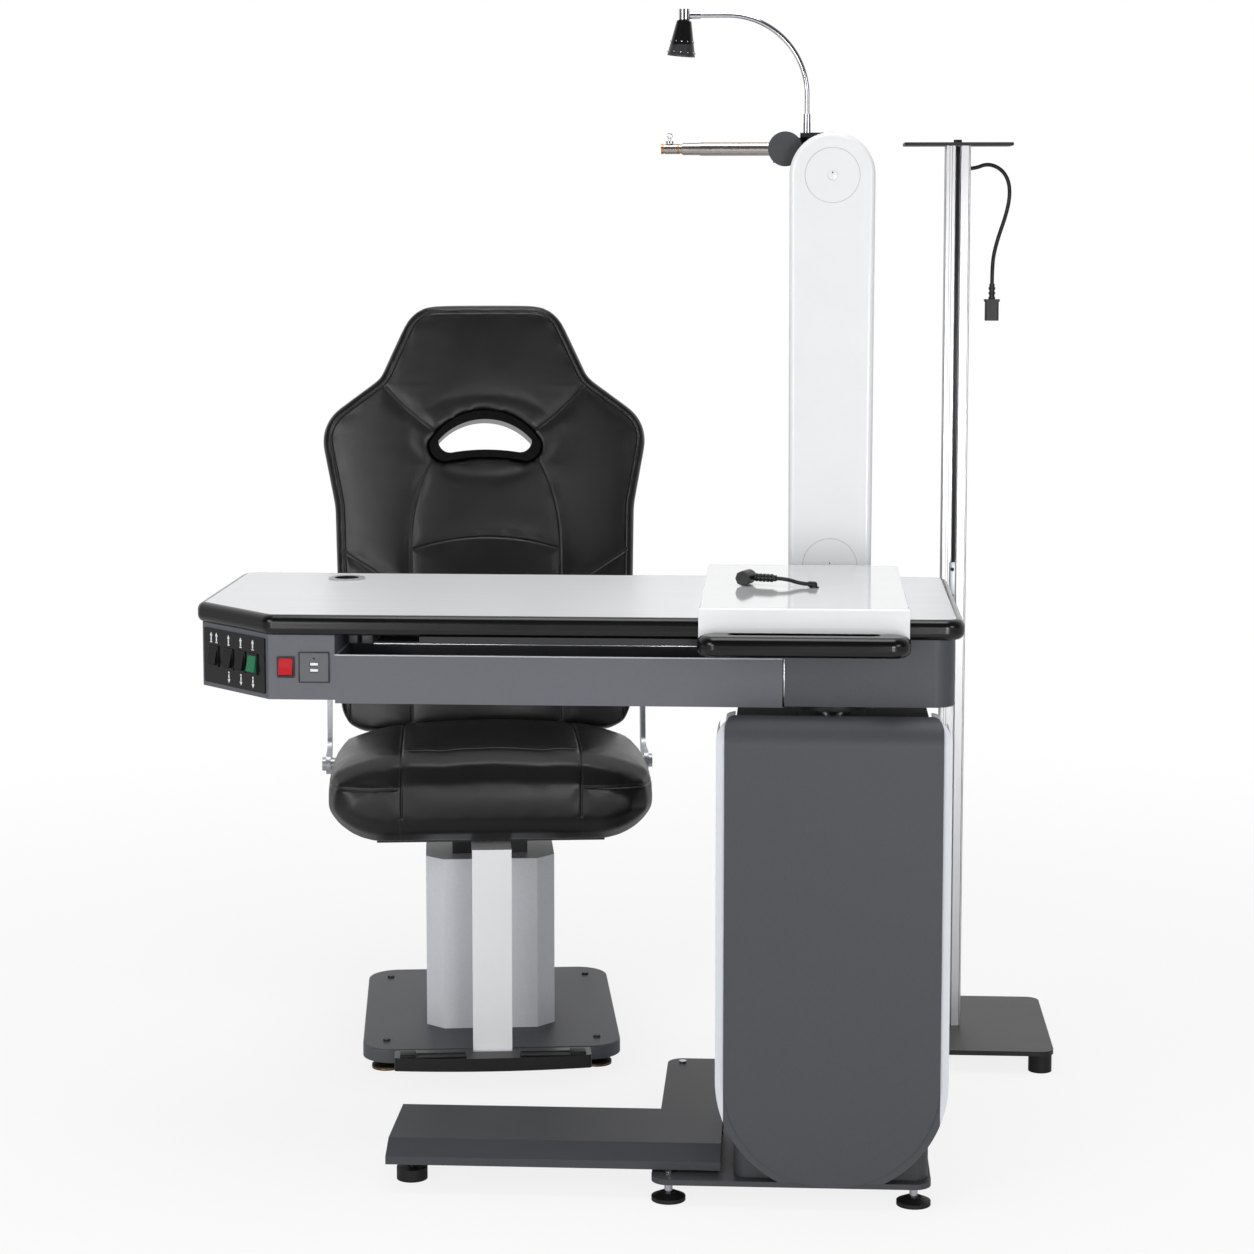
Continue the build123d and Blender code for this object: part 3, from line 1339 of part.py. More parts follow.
def pole_pieces():
    """Projector stand: plate, slotted profile, platform and its clamping knob."""
    half = pole_plate / 2
    plate = round_slab(pole_x - half, pole_x + half, pole_y - half, pole_y + half,
                       pole_plate_top - pole_plate_thickness, pole_plate_top, pole_plate_corner)
    section = RectangleRounded(pole_size, pole_size, pole_round)
    slot = Pos(0, slot_floor + pole_size / 2) * Rectangle(slot_width, pole_size)
    for turn in (0, 90, 180, 270):
        section -= Rot(0, 0, turn) * slot
    section -= Circle(pole_bore / 2)
    pole = Pos(pole_x, pole_y, pole_plate_top) * extrude(section, pole_top - pole_plate_top)
    platform = round_slab(pole_x - platform_width / 2, pole_x + platform_width / 2,
                          pole_y - platform_depth / 2, pole_y + platform_depth / 2,
                          pole_top + run_gap, pole_top + platform_thickness, platform_corner)
    for x in (pole_x - platform_width / 2 + platform_hole_inset,
              pole_x + platform_width / 2 - platform_hole_inset):
        platform -= rod_z(platform_hole, pole_top - overrun, pole_top + 2 * overrun, x, pole_y)
    platform -= rod_z(pole_bore, pole_top - overrun, pole_top + 2 * overrun, pole_x, pole_y)
    knob = rod_z(pole_bore - 2 * run_gap, pole_top - knob_depth,
                 pole_top + platform_thickness + slide_gap, pole_x, pole_y)
    knob += rod_z(knob_diameter, pole_top + platform_thickness + slide_gap,
                  pole_top + platform_thickness + slide_gap + knob_height, pole_x, pole_y)
    return {"stand_plate": plate, "stand_profile": pole,
            "projector_platform": Compound([platform, knob])}


def tray_plug_piece():
    """Right-angled plug on the tray, with a ribbed relief where its lead leaves."""
    plug = rod_y(tray_plug_diameter, 0, tray_plug_length, 0, 0)
    face = Plane.XZ.offset(tray_plug_face_thickness) * RegularPolygon(tray_plug_face / 2, 8)
    plug += extrude(face, -tray_plug_face_thickness)
    plug += rod_y(tray_plug_collar, tray_plug_length, tray_plug_length + tray_plug_collar_length,
                  0, 0)
    start = tray_plug_diameter / 2
    plug += rod_x(tray_relief_diameter, 0, start + tray_relief_length, tray_relief_y, 0)
    for step in range(tray_rib_count):
        x = start + tray_rib_pitch * (step + 1) - tray_rib_width
        plug += rod_x(tray_rib_diameter, x, x + tray_rib_width, tray_relief_y, 0)
    return plug_place * plug


def stand_plug_piece(x, y, top):
    """Appliance plug that hangs at the end of the stand's lead."""
    relief_end = top - plug_relief_length
    flange_end = relief_end - plug_flange_thickness
    body_end = flange_end - plug_body_length
    plug = rod_z(plug_relief_diameter, relief_end, top)
    for step in range(plug_ring_count):
        z = relief_end + plug_ring_pitch * step
        plug += rod_z(plug_ring_diameter, z, z + plug_ring_width)
    plug += Pos(0, 0, flange_end) * extrude(
        RectangleRounded(plug_flange_width, plug_flange_depth, plug_corner),
        plug_flange_thickness)
    plug += Pos(0, 0, body_end) * extrude(
        RectangleRounded(plug_body_width, plug_body_depth, plug_corner), plug_body_length)
    for place in ((-plug_slot_pitch, -plug_slot_shift), (0, plug_slot_shift),
                  (plug_slot_pitch, -plug_slot_shift)):
        plug -= Pos(*place, body_end) * extrude(
            Rectangle(plug_slot_width, plug_slot_thickness), plug_slot_depth)
    return Pos(x, y, 0) * plug


def lead_pieces():
    """The two free leads with their plugs."""
    relief_tip = tray_plug_diameter / 2 + tray_relief_length
    start = plug_place * Pos(relief_tip, tray_relief_y, 0)
    first = plug_place * Pos(relief_tip + tray_lead_start, tray_relief_y, 0)
    last = gland_place * Pos(nozzle_length + tray_lead_end, 0, 0)
    end = gland_place * Pos(nozzle_length, 0, 0)
    tray_route = [tuple(place.position) for place in (start, first, last, end)]
    exit_x = pole_x + slot_floor
    stand_route = [(exit_x + out, pole_y, pole_lead_height + up) for out, up in pole_lead_route]
    plug_x, plug_top = stand_route[-1][0], stand_route[-1][2]
    return {"tray_lead": cord_tube(tray_route, tray_lead_diameter, "tray_lead"),
            "tray_plug": tray_plug_piece(),
            "stand_lead": cord_tube(stand_route, pole_lead_diameter, "stand_lead"),
            "stand_plug": stand_plug_piece(plug_x, pole_y, plug_top)}


def main():
    """Builds every piece, centres the set over the origin and writes the files."""
    nodes = {}
    nodes.update(base_pieces())
    nodes.update(pedestal_pieces())
    nodes.update(lift_pieces())
    nodes.update(head_pieces())
    nodes.update(control_pieces())
    nodes.update(table_pieces())
    nodes.update(tray_pieces())
    arm, lever = arm_pieces()
    nodes.update(arm)
    nodes["head_block"] = head_block(lever)
    nodes.update(rod_pieces())
    nodes.update(lamp_pieces())
    chair = chair_frame_pieces()
    chair["footrest"] = footrest_piece()
    chair.update(back_pieces())
    chair.update(bracket_pieces(seat_piece(), chair["backrest"]))
    motor = chair.pop("chair_lift_motor")
    nodes["lift_motors"] = Compound([nodes["lift_motors"], in_chair(motor)])
    nodes.update({name: in_chair(shape) for name, shape in chair.items()})
    nodes.update(pole_pieces())
    cords = lead_pieces()
    box = Compound(list(nodes.values())).bounding_box()
    shift = Pos(-(box.min.X + box.max.X) / 2, -(box.min.Y + box.max.Y) / 2, 0)
    print("origin moved by", shift.position, "size", box.size, "floor", box.min.Z)
    nodes.update(cords)
    for name, shape in nodes.items():
        export_step(shift * shape, f"parts/{name}.step")
    print(len(nodes), "nodes")


main()
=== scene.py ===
"""Looks of a refraction unit: an instrument table on a lift pedestal with its arm and lamp, an
examination chair and a projector stand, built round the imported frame. Metres, +Z up.
"""

import json
import logging
import math
from contextlib import contextmanager
from dataclasses import dataclass
from enum import Enum
from typing import Callable, Iterator, Sequence

import bmesh
import bpy
import numpy as np
from mathutils import Matrix, Vector
from mathutils.bvhtree import BVHTree

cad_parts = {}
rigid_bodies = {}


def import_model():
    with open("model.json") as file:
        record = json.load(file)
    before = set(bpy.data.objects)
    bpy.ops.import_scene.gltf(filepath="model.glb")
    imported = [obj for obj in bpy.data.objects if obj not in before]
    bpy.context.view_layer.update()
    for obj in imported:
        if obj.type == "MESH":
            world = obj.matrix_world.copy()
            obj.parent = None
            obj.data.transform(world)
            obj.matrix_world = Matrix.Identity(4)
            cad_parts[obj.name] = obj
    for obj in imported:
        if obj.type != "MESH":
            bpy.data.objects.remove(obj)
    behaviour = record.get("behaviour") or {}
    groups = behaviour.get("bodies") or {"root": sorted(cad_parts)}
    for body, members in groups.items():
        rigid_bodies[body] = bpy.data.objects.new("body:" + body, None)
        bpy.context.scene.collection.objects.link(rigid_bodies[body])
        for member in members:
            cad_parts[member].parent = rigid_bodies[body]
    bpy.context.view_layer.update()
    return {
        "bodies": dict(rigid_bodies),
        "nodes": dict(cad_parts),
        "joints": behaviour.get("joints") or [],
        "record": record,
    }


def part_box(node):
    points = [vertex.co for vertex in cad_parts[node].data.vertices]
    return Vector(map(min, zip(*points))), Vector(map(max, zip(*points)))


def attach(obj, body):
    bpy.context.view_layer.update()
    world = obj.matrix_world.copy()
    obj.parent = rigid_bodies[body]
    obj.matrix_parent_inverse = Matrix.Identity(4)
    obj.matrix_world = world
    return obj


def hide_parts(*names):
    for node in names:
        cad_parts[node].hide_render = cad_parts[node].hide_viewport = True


Piece = bpy.types.Object
Socket = bpy.types.NodeSocket
Colour = tuple[int, int, int]
Point = tuple[float, float, float]

LOG = logging.getLogger("refraction_unit")
MM = 0.001
PHOTO_SIDE = 1254
WHITE = (1.0, 1.0, 1.0, 1.0)
FAR = 9.0
PEDESTAL_CENTRE = (0.286, -0.471024)
CHAIR_CENTRE = (-0.300, 0.258976)
OUTLET_CENTRE = (-0.484, -0.132024)


class Axis(Enum):
    """Coordinate that a zone is measured along, or its distance from an upright line."""

    X = 0
    Y = 1
    Z = 2
    ROUND = 3


class Pattern(Enum):
    """Kind of grain that a surface shows."""

    CLOUDS = "clouds"
    CELLS = "cells"


def linear(rgb: Sequence[int]) -> tuple[float, float, float, float]:
    """Turns an sRGB colour into the linear one that a shader takes.

    Args:
        rgb: red, green and blue from 0 to 255.

    Returns:
        The linear colour with full alpha.
    """
    shares = [c / 255 for c in rgb]
    steps = [c / 12.92 if c <= 0.04045 else ((c + 0.055) / 1.055) ** 2.4 for c in shares]
    return (*steps, 1.0)


@dataclass(frozen=True)
class Grain:
    """One layer of grain: feature size in metres, and how much it shows in each channel."""

    size: float
    colour: float = 0.0
    roughness: float = 0.0
    relief: float = 0.0
    stretch: Point = (1.0, 1.0, 1.0)
    pattern: Pattern = Pattern.CLOUDS


@dataclass(frozen=True)
class Zone:
    """Part of a surface, between two places or radii, with another colour and gloss.

    The centre is the foot of the upright line that radii are measured from. With a ceiling, the
    zone ends at that height.
    """

    axis: Axis
    low: float
    high: float
    colour: Colour
    roughness: float
    metallic: float = 0.0
    centre: tuple[float, float] = (0.0, 0.0)
    ceiling: float | None = None


@dataclass(frozen=True)
class Finish:
    """Finish of a surface, built from one principled shader and layers of grain."""

    name: str
    colour: Colour
    roughness: float
    metallic: float = 0.0
    specular: float = 0.5
    coat: float = 0.0
    sheen: float = 0.0
    clear: float = 0.0
    glow: float = 0.0
    grains: tuple[Grain, ...] = ()
    zones: tuple[Zone, ...] = ()

    @property
    def label(self) -> str:
        """Name of the material, which no slot of the frame has."""
        return f"finish_{self.name}"

    def build(self) -> bpy.types.Material:
        """Makes the material, or returns it if it is there already."""
        made = bpy.data.materials.get(self.label)
        return made if made else Mixer(self).material


class Wiring:
    """Node tree of a material or of the world, with short calls that extend it."""

    def __init__(self, tree: bpy.types.NodeTree) -> None:
        """Keeps the tree that the calls extend."""
        self.tree = tree

    def add(self, kind: str, **inputs: object) -> bpy.types.Node:
        """Adds a node and sets or joins its named inputs.

        Args:
            kind: the node's type.
            inputs: values or output sockets for the inputs, by name with underscores.

        Returns:
            The new node.
        """
        node = self.tree.nodes.new(kind)
        for name, value in inputs.items():
            self.feed(node.inputs[name.replace("_", " ")], value)
        return node

    def feed(self, socket: Socket, value: object) -> None:
        """Joins an output to a socket, or sets the socket's own value."""
        if isinstance(value, Socket):
            self.tree.links.new(value, socket)
        else:
            socket.default_value = value

    def maths(self, operation: str, first: object, second: object = 0.0) -> Socket:
        """Adds one math node and returns its result."""
        node = self.tree.nodes.new("ShaderNodeMath")
        node.operation = operation
        self.feed(node.inputs[0], first)
        self.feed(node.inputs[1], second)
        return node.outputs[0]

    def vectors(self, operation: str, first: object, **inputs: object) -> bpy.types.Node:
        """Adds one vector math node; its named inputs only exist once the operation is set."""
        node = self.tree.nodes.new("ShaderNodeVectorMath")
        node.operation = operation
        self.feed(node.inputs[0], first)
        for name, value in inputs.items():
            self.feed(node.inputs[name], value)
        return node

    def ramp(self, value: Socket, start: float, end: float, base: float) -> Socket:
        """Returns a soft rise from the base to one, while a value goes from start to end."""
        node = self.add("ShaderNodeMapRange", Value=value, From_Min=start, From_Max=end,
                        To_Min=base)
        node.interpolation_type = "SMOOTHSTEP"
        return node.outputs[0]


class Mixer(Wiring):
    """Lays out the nodes of one finish."""

    coat_roughness = 0.1
    detail = 3.0
    middle = 0.5

    def __init__(self, finish: Finish) -> None:
        """Builds the whole node tree of a finish."""
        self.material = bpy.data.materials.new(finish.label)
        self.material.use_nodes = True
        super().__init__(self.material.node_tree)
        self.shader = self.tree.nodes["Principled BSDF"]
        self.place = self.add("ShaderNodeTexCoord").outputs["Object"]
        self.set_sockets(finish)
        self.lay(finish)

    def set_sockets(self, finish: Finish) -> None:
        """Sets what is the same all over on the shader's own sockets."""
        for name, value in (
                ("Specular IOR Level", finish.specular), ("Coat Weight", finish.coat),
                ("Coat Roughness", self.coat_roughness), ("Sheen Weight", finish.sheen),
                ("Transmission Weight", finish.clear), ("Emission Strength", finish.glow),
                ("Emission Color", linear(finish.colour))):
            self.shader.inputs[name].default_value = value

    def grain(self, layer: Grain) -> Socket:
        """Adds one layer of grain and returns it as a value around zero."""
        mapping = self.add("ShaderNodeMapping", Vector=self.place)
        mapping.inputs["Scale"].default_value = [s / layer.size for s in layer.stretch]
        if layer.pattern is Pattern.CELLS:
            texture = self.add("ShaderNodeTexVoronoi", Vector=mapping.outputs[0], Scale=1.0)
            return self.maths("SUBTRACT", texture.outputs["Distance"], self.middle)
        texture = self.add("ShaderNodeTexNoise", Vector=mapping.outputs[0], Scale=1.0,
                           Detail=self.detail)
        return self.maths("SUBTRACT", texture.outputs["Fac"], self.middle)

    def zone_mask(self, zone: Zone) -> Socket:
        """Returns 1 inside a zone and 0 outside it."""
        split = self.add("ShaderNodeSeparateXYZ", Vector=self.place).outputs
        if zone.axis is Axis.ROUND:
            dx, dy = (self.maths("SUBTRACT", split[i], zone.centre[i]) for i in range(2))
            squares = self.maths("ADD", self.maths("MULTIPLY", dx, dx),
                                 self.maths("MULTIPLY", dy, dy))
            measure = self.maths("SQRT", squares)
        else:
            measure = split[zone.axis.value]
        mask = self.maths("MULTIPLY", self.maths("GREATER_THAN", measure, zone.low),
                          self.maths("LESS_THAN", measure, zone.high))
        if zone.ceiling is None:
            return mask
        return self.maths("MULTIPLY", mask, self.maths("LESS_THAN", split[2], zone.ceiling))

    def with_grain(self, start: object, value: Socket, weight: float) -> object:
        """Adds a layer's share to a channel, if the layer shows in it."""
        return self.maths("ADD", start, self.maths("MULTIPLY", value, weight)) if weight else start

    def blend(self, mask: Socket, outside: object, inside: float) -> Socket:
        """Mixes two numbers by a mask."""
        kept = self.maths("MULTIPLY", self.maths("SUBTRACT", 1.0, mask), outside)
        return self.maths("ADD", kept, self.maths("MULTIPLY", mask, inside))

    def mix_colours(self, mask: Socket, outside: object, inside: object) -> Socket:
        """Mixes two colours by a mask."""
        mix = self.tree.nodes.new("ShaderNodeMix")
        mix.data_type = "RGBA"
        for index, value in ((0, mask), (6, outside), (7, inside)):
            self.feed(mix.inputs[index], value)
        return mix.outputs[2]

    def lay(self, finish: Finish) -> None:
        """Joins the grains and zones to colour, roughness, metal and relief."""
        shade, gloss, height = 1.0, finish.roughness, 0.0
        for layer in finish.grains:
            value = self.grain(layer)
            shade = self.with_grain(shade, value, layer.colour)
            gloss = self.with_grain(gloss, value, layer.roughness)
            height = self.with_grain(height, value, layer.relief)
        colour, metal = linear(finish.colour), finish.metallic
        for zone in finish.zones:
            mask = self.zone_mask(zone)
            colour = self.mix_colours(mask, colour, linear(zone.colour))
            gloss = self.blend(mask, gloss, zone.roughness)
            metal = self.blend(mask, metal, zone.metallic)
        if isinstance(shade, Socket):
            base = colour if isinstance(colour, Socket) else colour[:3]
            colour = self.vectors("SCALE", base, Scale=shade).outputs[0]
        if isinstance(height, Socket):
            bump = self.add("ShaderNodeBump", Height=height, Distance=1.0, Strength=1.0)
            self.feed(self.shader.inputs["Normal"], bump.outputs["Normal"])
        for name, value in (("Base Color", colour), ("Roughness", gloss), ("Metallic", metal)):
            self.feed(self.shader.inputs[name], value)


def powder(name: str, colour: Colour, roughness: float = 0.5,
           zones: tuple[Zone, ...] = ()) -> Finish:
    """Fine textured powder coat on sheet steel."""
    grains = (Grain(0.0012, colour=0.16, roughness=0.12, relief=0.00009),
              Grain(0.005, colour=0.1, relief=0.0002),
              Grain(0.16, colour=0.07, roughness=0.05))
    return Finish(name, colour, roughness, specular=0.4, grains=grains, zones=zones)


def moulding(name: str, colour: Colour, roughness: float = 0.25, specular: float = 0.4,
             **extras: object) -> Finish:
    """Moulded or painted gloss with a faint ripple and handling marks."""
    grains = (Grain(0.009, roughness=0.05, relief=0.00002),
              Grain(0.0009, colour=0.05, relief=0.000006),
              Grain(0.09, colour=0.05, roughness=0.1))
    return Finish(name, colour, roughness, specular=specular, grains=grains, **extras)


def metal(name: str, colour: Colour, roughness: float, stretch: Point = (1.0, 1.0, 1.0),
          **extras: object) -> Finish:
    """Bare or plated metal with drawing lines along its shorter stretch."""
    grains = (Grain(0.0008, colour=0.05, roughness=0.06, relief=0.0000008, stretch=stretch),
              Grain(0.03, colour=0.06, roughness=0.06))
    return Finish(name, colour, roughness, metallic=1.0, grains=grains, **extras)


COVER_GREY = powder("cover_grey", (63, 64, 69), 0.5)
BEAM_GREY = powder("beam_grey", (92, 93, 100), 0.45)
# The head housing has the beam's paint; its darker grey is painted shade, as the light falls from
# the left.
HOUSING_SHADED_GREY = powder("housing_grey_painted_shade", (68, 69, 74), 0.45)
# Beam grey with a painted highlight: a lighter band along the top edge stands in for light caught
# by the edge.
BEAM_HIGHLIT_TOP_EDGE = powder("beam_grey_painted_edge_highlight", (92, 93, 100), 0.45, zones=(
    Zone(Axis.Z, 0.7893, 0.7915, (176, 177, 184), 0.35),))
# Pedestal box grey whose top, under the table, is painted near-black: painted shade.
BOX_GREY_SHADED_TOP = powder("box_grey_painted_shade_top", (58, 59, 63), 0.5, zones=(
    Zone(Axis.Z, 0.688, 0.72, (12, 12, 13), 0.7),))
BASE_GREY = powder("base_grey", (58, 59, 63), 0.5)
CHAIR_BASE_GREY = powder("chair_base_grey", (84, 86, 91), 0.5)
PLATE_BLACK = powder("stand_plate_black", (17, 18, 19), 0.42)
DARK_STEEL = powder("dark_steel", (34, 34, 36), 0.55)
SILVER_SHELL = moulding("silver_shell", (203, 205, 211), 0.3, zones=(
    Zone(Axis.X, 0.1303, 0.4417, (64, 65, 70), 0.5, ceiling=0.4),))
COLUMN_SILVER = powder("column_silver", (214, 216, 221), 0.36)
GROMMET_SILVER = moulding("grommet_silver", (176, 178, 182), 0.28)
# Grommet silver with a near-black disc in the middle: painted shade of the cable hole.
GROMMET_SHADED_BORE = moulding("grommet_silver_painted_bore_shade", (176, 178, 182), 0.28, zones=(
    Zone(Axis.ROUND, 0.0, 0.0192, (8, 8, 9), 0.6, centre=OUTLET_CENTRE),))
WHITE_PAINT = moulding("white_paint", (246, 247, 249), 0.3)
ARM_WHITE = moulding("arm_white", (226, 227, 229), 0.18, coat=0.2)
TRAY_WHITE = moulding("tray_white", (234, 235, 237), 0.07, specular=0.8, coat=0.6)
BLACK_GLOSS = moulding("black_gloss", (9, 9, 10), 0.18)
BLACK_EDGE = moulding("black_edge", (11, 11, 12), 0.2)
BLACK_PLASTIC = moulding("black_plastic", (14, 14, 15), 0.36)
PANEL_BLACK = moulding("panel_black", (10, 10, 11), 0.22)
SOCKET_GREY = moulding("socket_grey", (88, 89, 93), 0.42)
MARK_WHITE = moulding("mark_white", (230, 231, 233), 0.45)
ROCKER_RED = moulding("rocker_red", (176, 20, 32), 0.16, coat=0.5, glow=0.12)
ROCKER_GREEN = moulding("rocker_green", (8, 104, 66), 0.16, coat=0.5, glow=0.12)
RUBBER = Finish("black_rubber", (18, 18, 19), 0.55, specular=0.35, grains=(
    Grain(0.0011, colour=0.2, relief=0.00005), Grain(0.02, colour=0.1, roughness=0.12)))
LEAD_RUBBER = Finish("lead_rubber", (15, 15, 16), 0.42, specular=0.35, grains=(
    Grain(0.0009, colour=0.15, relief=0.00002), Grain(0.015, roughness=0.1)))
LEATHER = Finish("black_leather", (11, 11, 12), 0.36, specular=0.46, grains=(
    Grain(0.0011, colour=0.2, roughness=0.1, relief=0.00004, pattern=Pattern.CELLS),
    Grain(0.0034, colour=0.1, relief=0.00004), Grain(0.06, colour=0.16, roughness=0.12)))
THREAD = Finish("black_thread", (34, 34, 36), 0.5, sheen=0.2, grains=(
    Grain(0.0006, colour=0.4, relief=0.0001),))
LAMINATE = Finish("laminate", (236, 237, 239), 0.34, grains=(
    Grain(0.0016, colour=0.05, roughness=0.06, relief=0.000008, stretch=(0.03, 1.0, 1.0)),
    Grain(0.012, colour=0.1, stretch=(0.04, 1.0, 1.0)), Grain(0.3, colour=0.03)))
CHROME = metal("chrome", (205, 206, 210), 0.09)
NUT_STEEL = metal("nut_steel", (186, 186, 190), 0.22)
ROD_STEEL = metal("rod_steel", (172, 166, 162), 0.24, (0.05, 1.0, 1.0), zones=(
    Zone(Axis.X, 0.0345, 0.0375, (176, 124, 84), 0.3, 1.0),
    Zone(Axis.X, 0.007, 0.0125, (190, 142, 104), 0.28, 1.0)))
ALUMINIUM = metal("aluminium_profile", (196, 196, 198), 0.34, (1.0, 1.0, 0.02), zones=(
    Zone(Axis.X, 0.4838, 0.4845, (84, 85, 88), 0.4, 1.0),
    Zone(Axis.X, 0.4876, 0.4884, (70, 70, 73), 0.4, 1.0),
    Zone(Axis.X, 0.5156, 0.5166, (90, 80, 76), 0.4, 1.0)))
BRACKET_ALUMINIUM = metal("bracket_aluminium", (176, 178, 182), 0.38)
INNER_STEEL = metal("inner_steel", (120, 121, 124), 0.42)
COPPER_RIM = metal("copper_rim", (196, 140, 98), 0.3)
LAMP_BLACK = moulding("lamp_black", (13, 13, 14), 0.18, zones=(
    Zone(Axis.Z, 1.7443, 1.78, (205, 206, 210), 0.1, 1.0),
    Zone(Axis.Z, 1.66, 1.7035, (58, 58, 62), 0.3, 0.3)))
STUD_STEEL = metal("stud_steel", (186, 186, 190), 0.22, zones=(
    Zone(Axis.ROUND, 0.0, 0.42, (44, 45, 48), 0.5, centre=CHAIR_CENTRE),))
LENS = moulding("lens_frost", (214, 206, 204), 0.2, clear=0.35)
HUB = metal("hub_chrome_and_black", (205, 206, 210), 0.1, zones=(
    Zone(Axis.ROUND, 0.0305, 1.0, (20, 20, 21), 0.42, centre=PEDESTAL_CENTRE),))

NODES_BY_FINISH: tuple[tuple[Finish, str], ...] = (
    (BASE_GREY, "base_frame footrest_cover tilt_drum"),
    (BEAM_GREY, "control_box arm_bracket"),
    (DARK_STEEL, "lift_guide lift_motors top_frame tray_rails head_block rod_knuckle "
                 "chair_lift_tube projector_platform"),
    (CHROME, "lift_shaft swing_pin ring_screw swan_neck"),
    (BLACK_GLOSS, "rocker_chair rocker_table rocker_projector tray_handle grip_ring"),
    (BLACK_PLASTIC, "switch_frames tray_runners tray_gland tray_plug footrest stand_plug"),
    (RUBBER, "levelling_pads"), (STUD_STEEL, "levelling_studs"), (BOX_GREY_SHADED_TOP, "pedestal_box"),
    (SILVER_SHELL, "pedestal_shell"), (COVER_GREY, "pedestal_front_cover"),
    (HUB, "swivel_hub"), (HOUSING_SHADED_GREY, "head_housing"), (BEAM_HIGHLIT_TOP_EDGE, "beam"),
    (PANEL_BLACK, "control_panel"), (SOCKET_GREY, "charging_socket"),
    (ROCKER_GREEN, "rocker_lamp"), (ROCKER_RED, "rocker_power"), (LAMINATE, "tabletop"),
    (BLACK_EDGE, "edge_band"), (GROMMET_SHADED_BORE, "cable_grommet"), (TRAY_WHITE, "tray_shell"),
    (ARM_WHITE, "arm_cover"), (INNER_STEEL, "arm_spine"), (NUT_STEEL, "level_link"),
    (ROD_STEEL, "instrument_rod"), (LAMP_BLACK, "lamp_head"), (LENS, "lamp_lens"),
    (CHAIR_BASE_GREY, "chair_base"), (COLUMN_SILVER, "chair_column"),
    (WHITE_PAINT, "foot_bar"), (BRACKET_ALUMINIUM, "back_brackets"),
    (PLATE_BLACK, "stand_plate"), (ALUMINIUM, "stand_profile"))


def single_out(piece: Piece) -> None:
    """Selects one piece alone and makes it the active one."""
    bpy.ops.object.select_all(action="DESELECT")
    piece.select_set(True)
    bpy.context.view_layer.objects.active = piece


@contextmanager
def editing(piece: Piece) -> Iterator[bmesh.types.BMesh]:
    """Opens a piece alone in edit mode, with nothing selected, and closes it again."""
    single_out(piece)
    bpy.ops.object.mode_set(mode="EDIT")
    bpy.ops.mesh.select_mode(type="FACE")
    bpy.ops.mesh.select_all(action="DESELECT")
    try:
        yield bmesh.from_edit_mesh(piece.data)
    finally:
        bpy.ops.object.mode_set(mode="OBJECT")


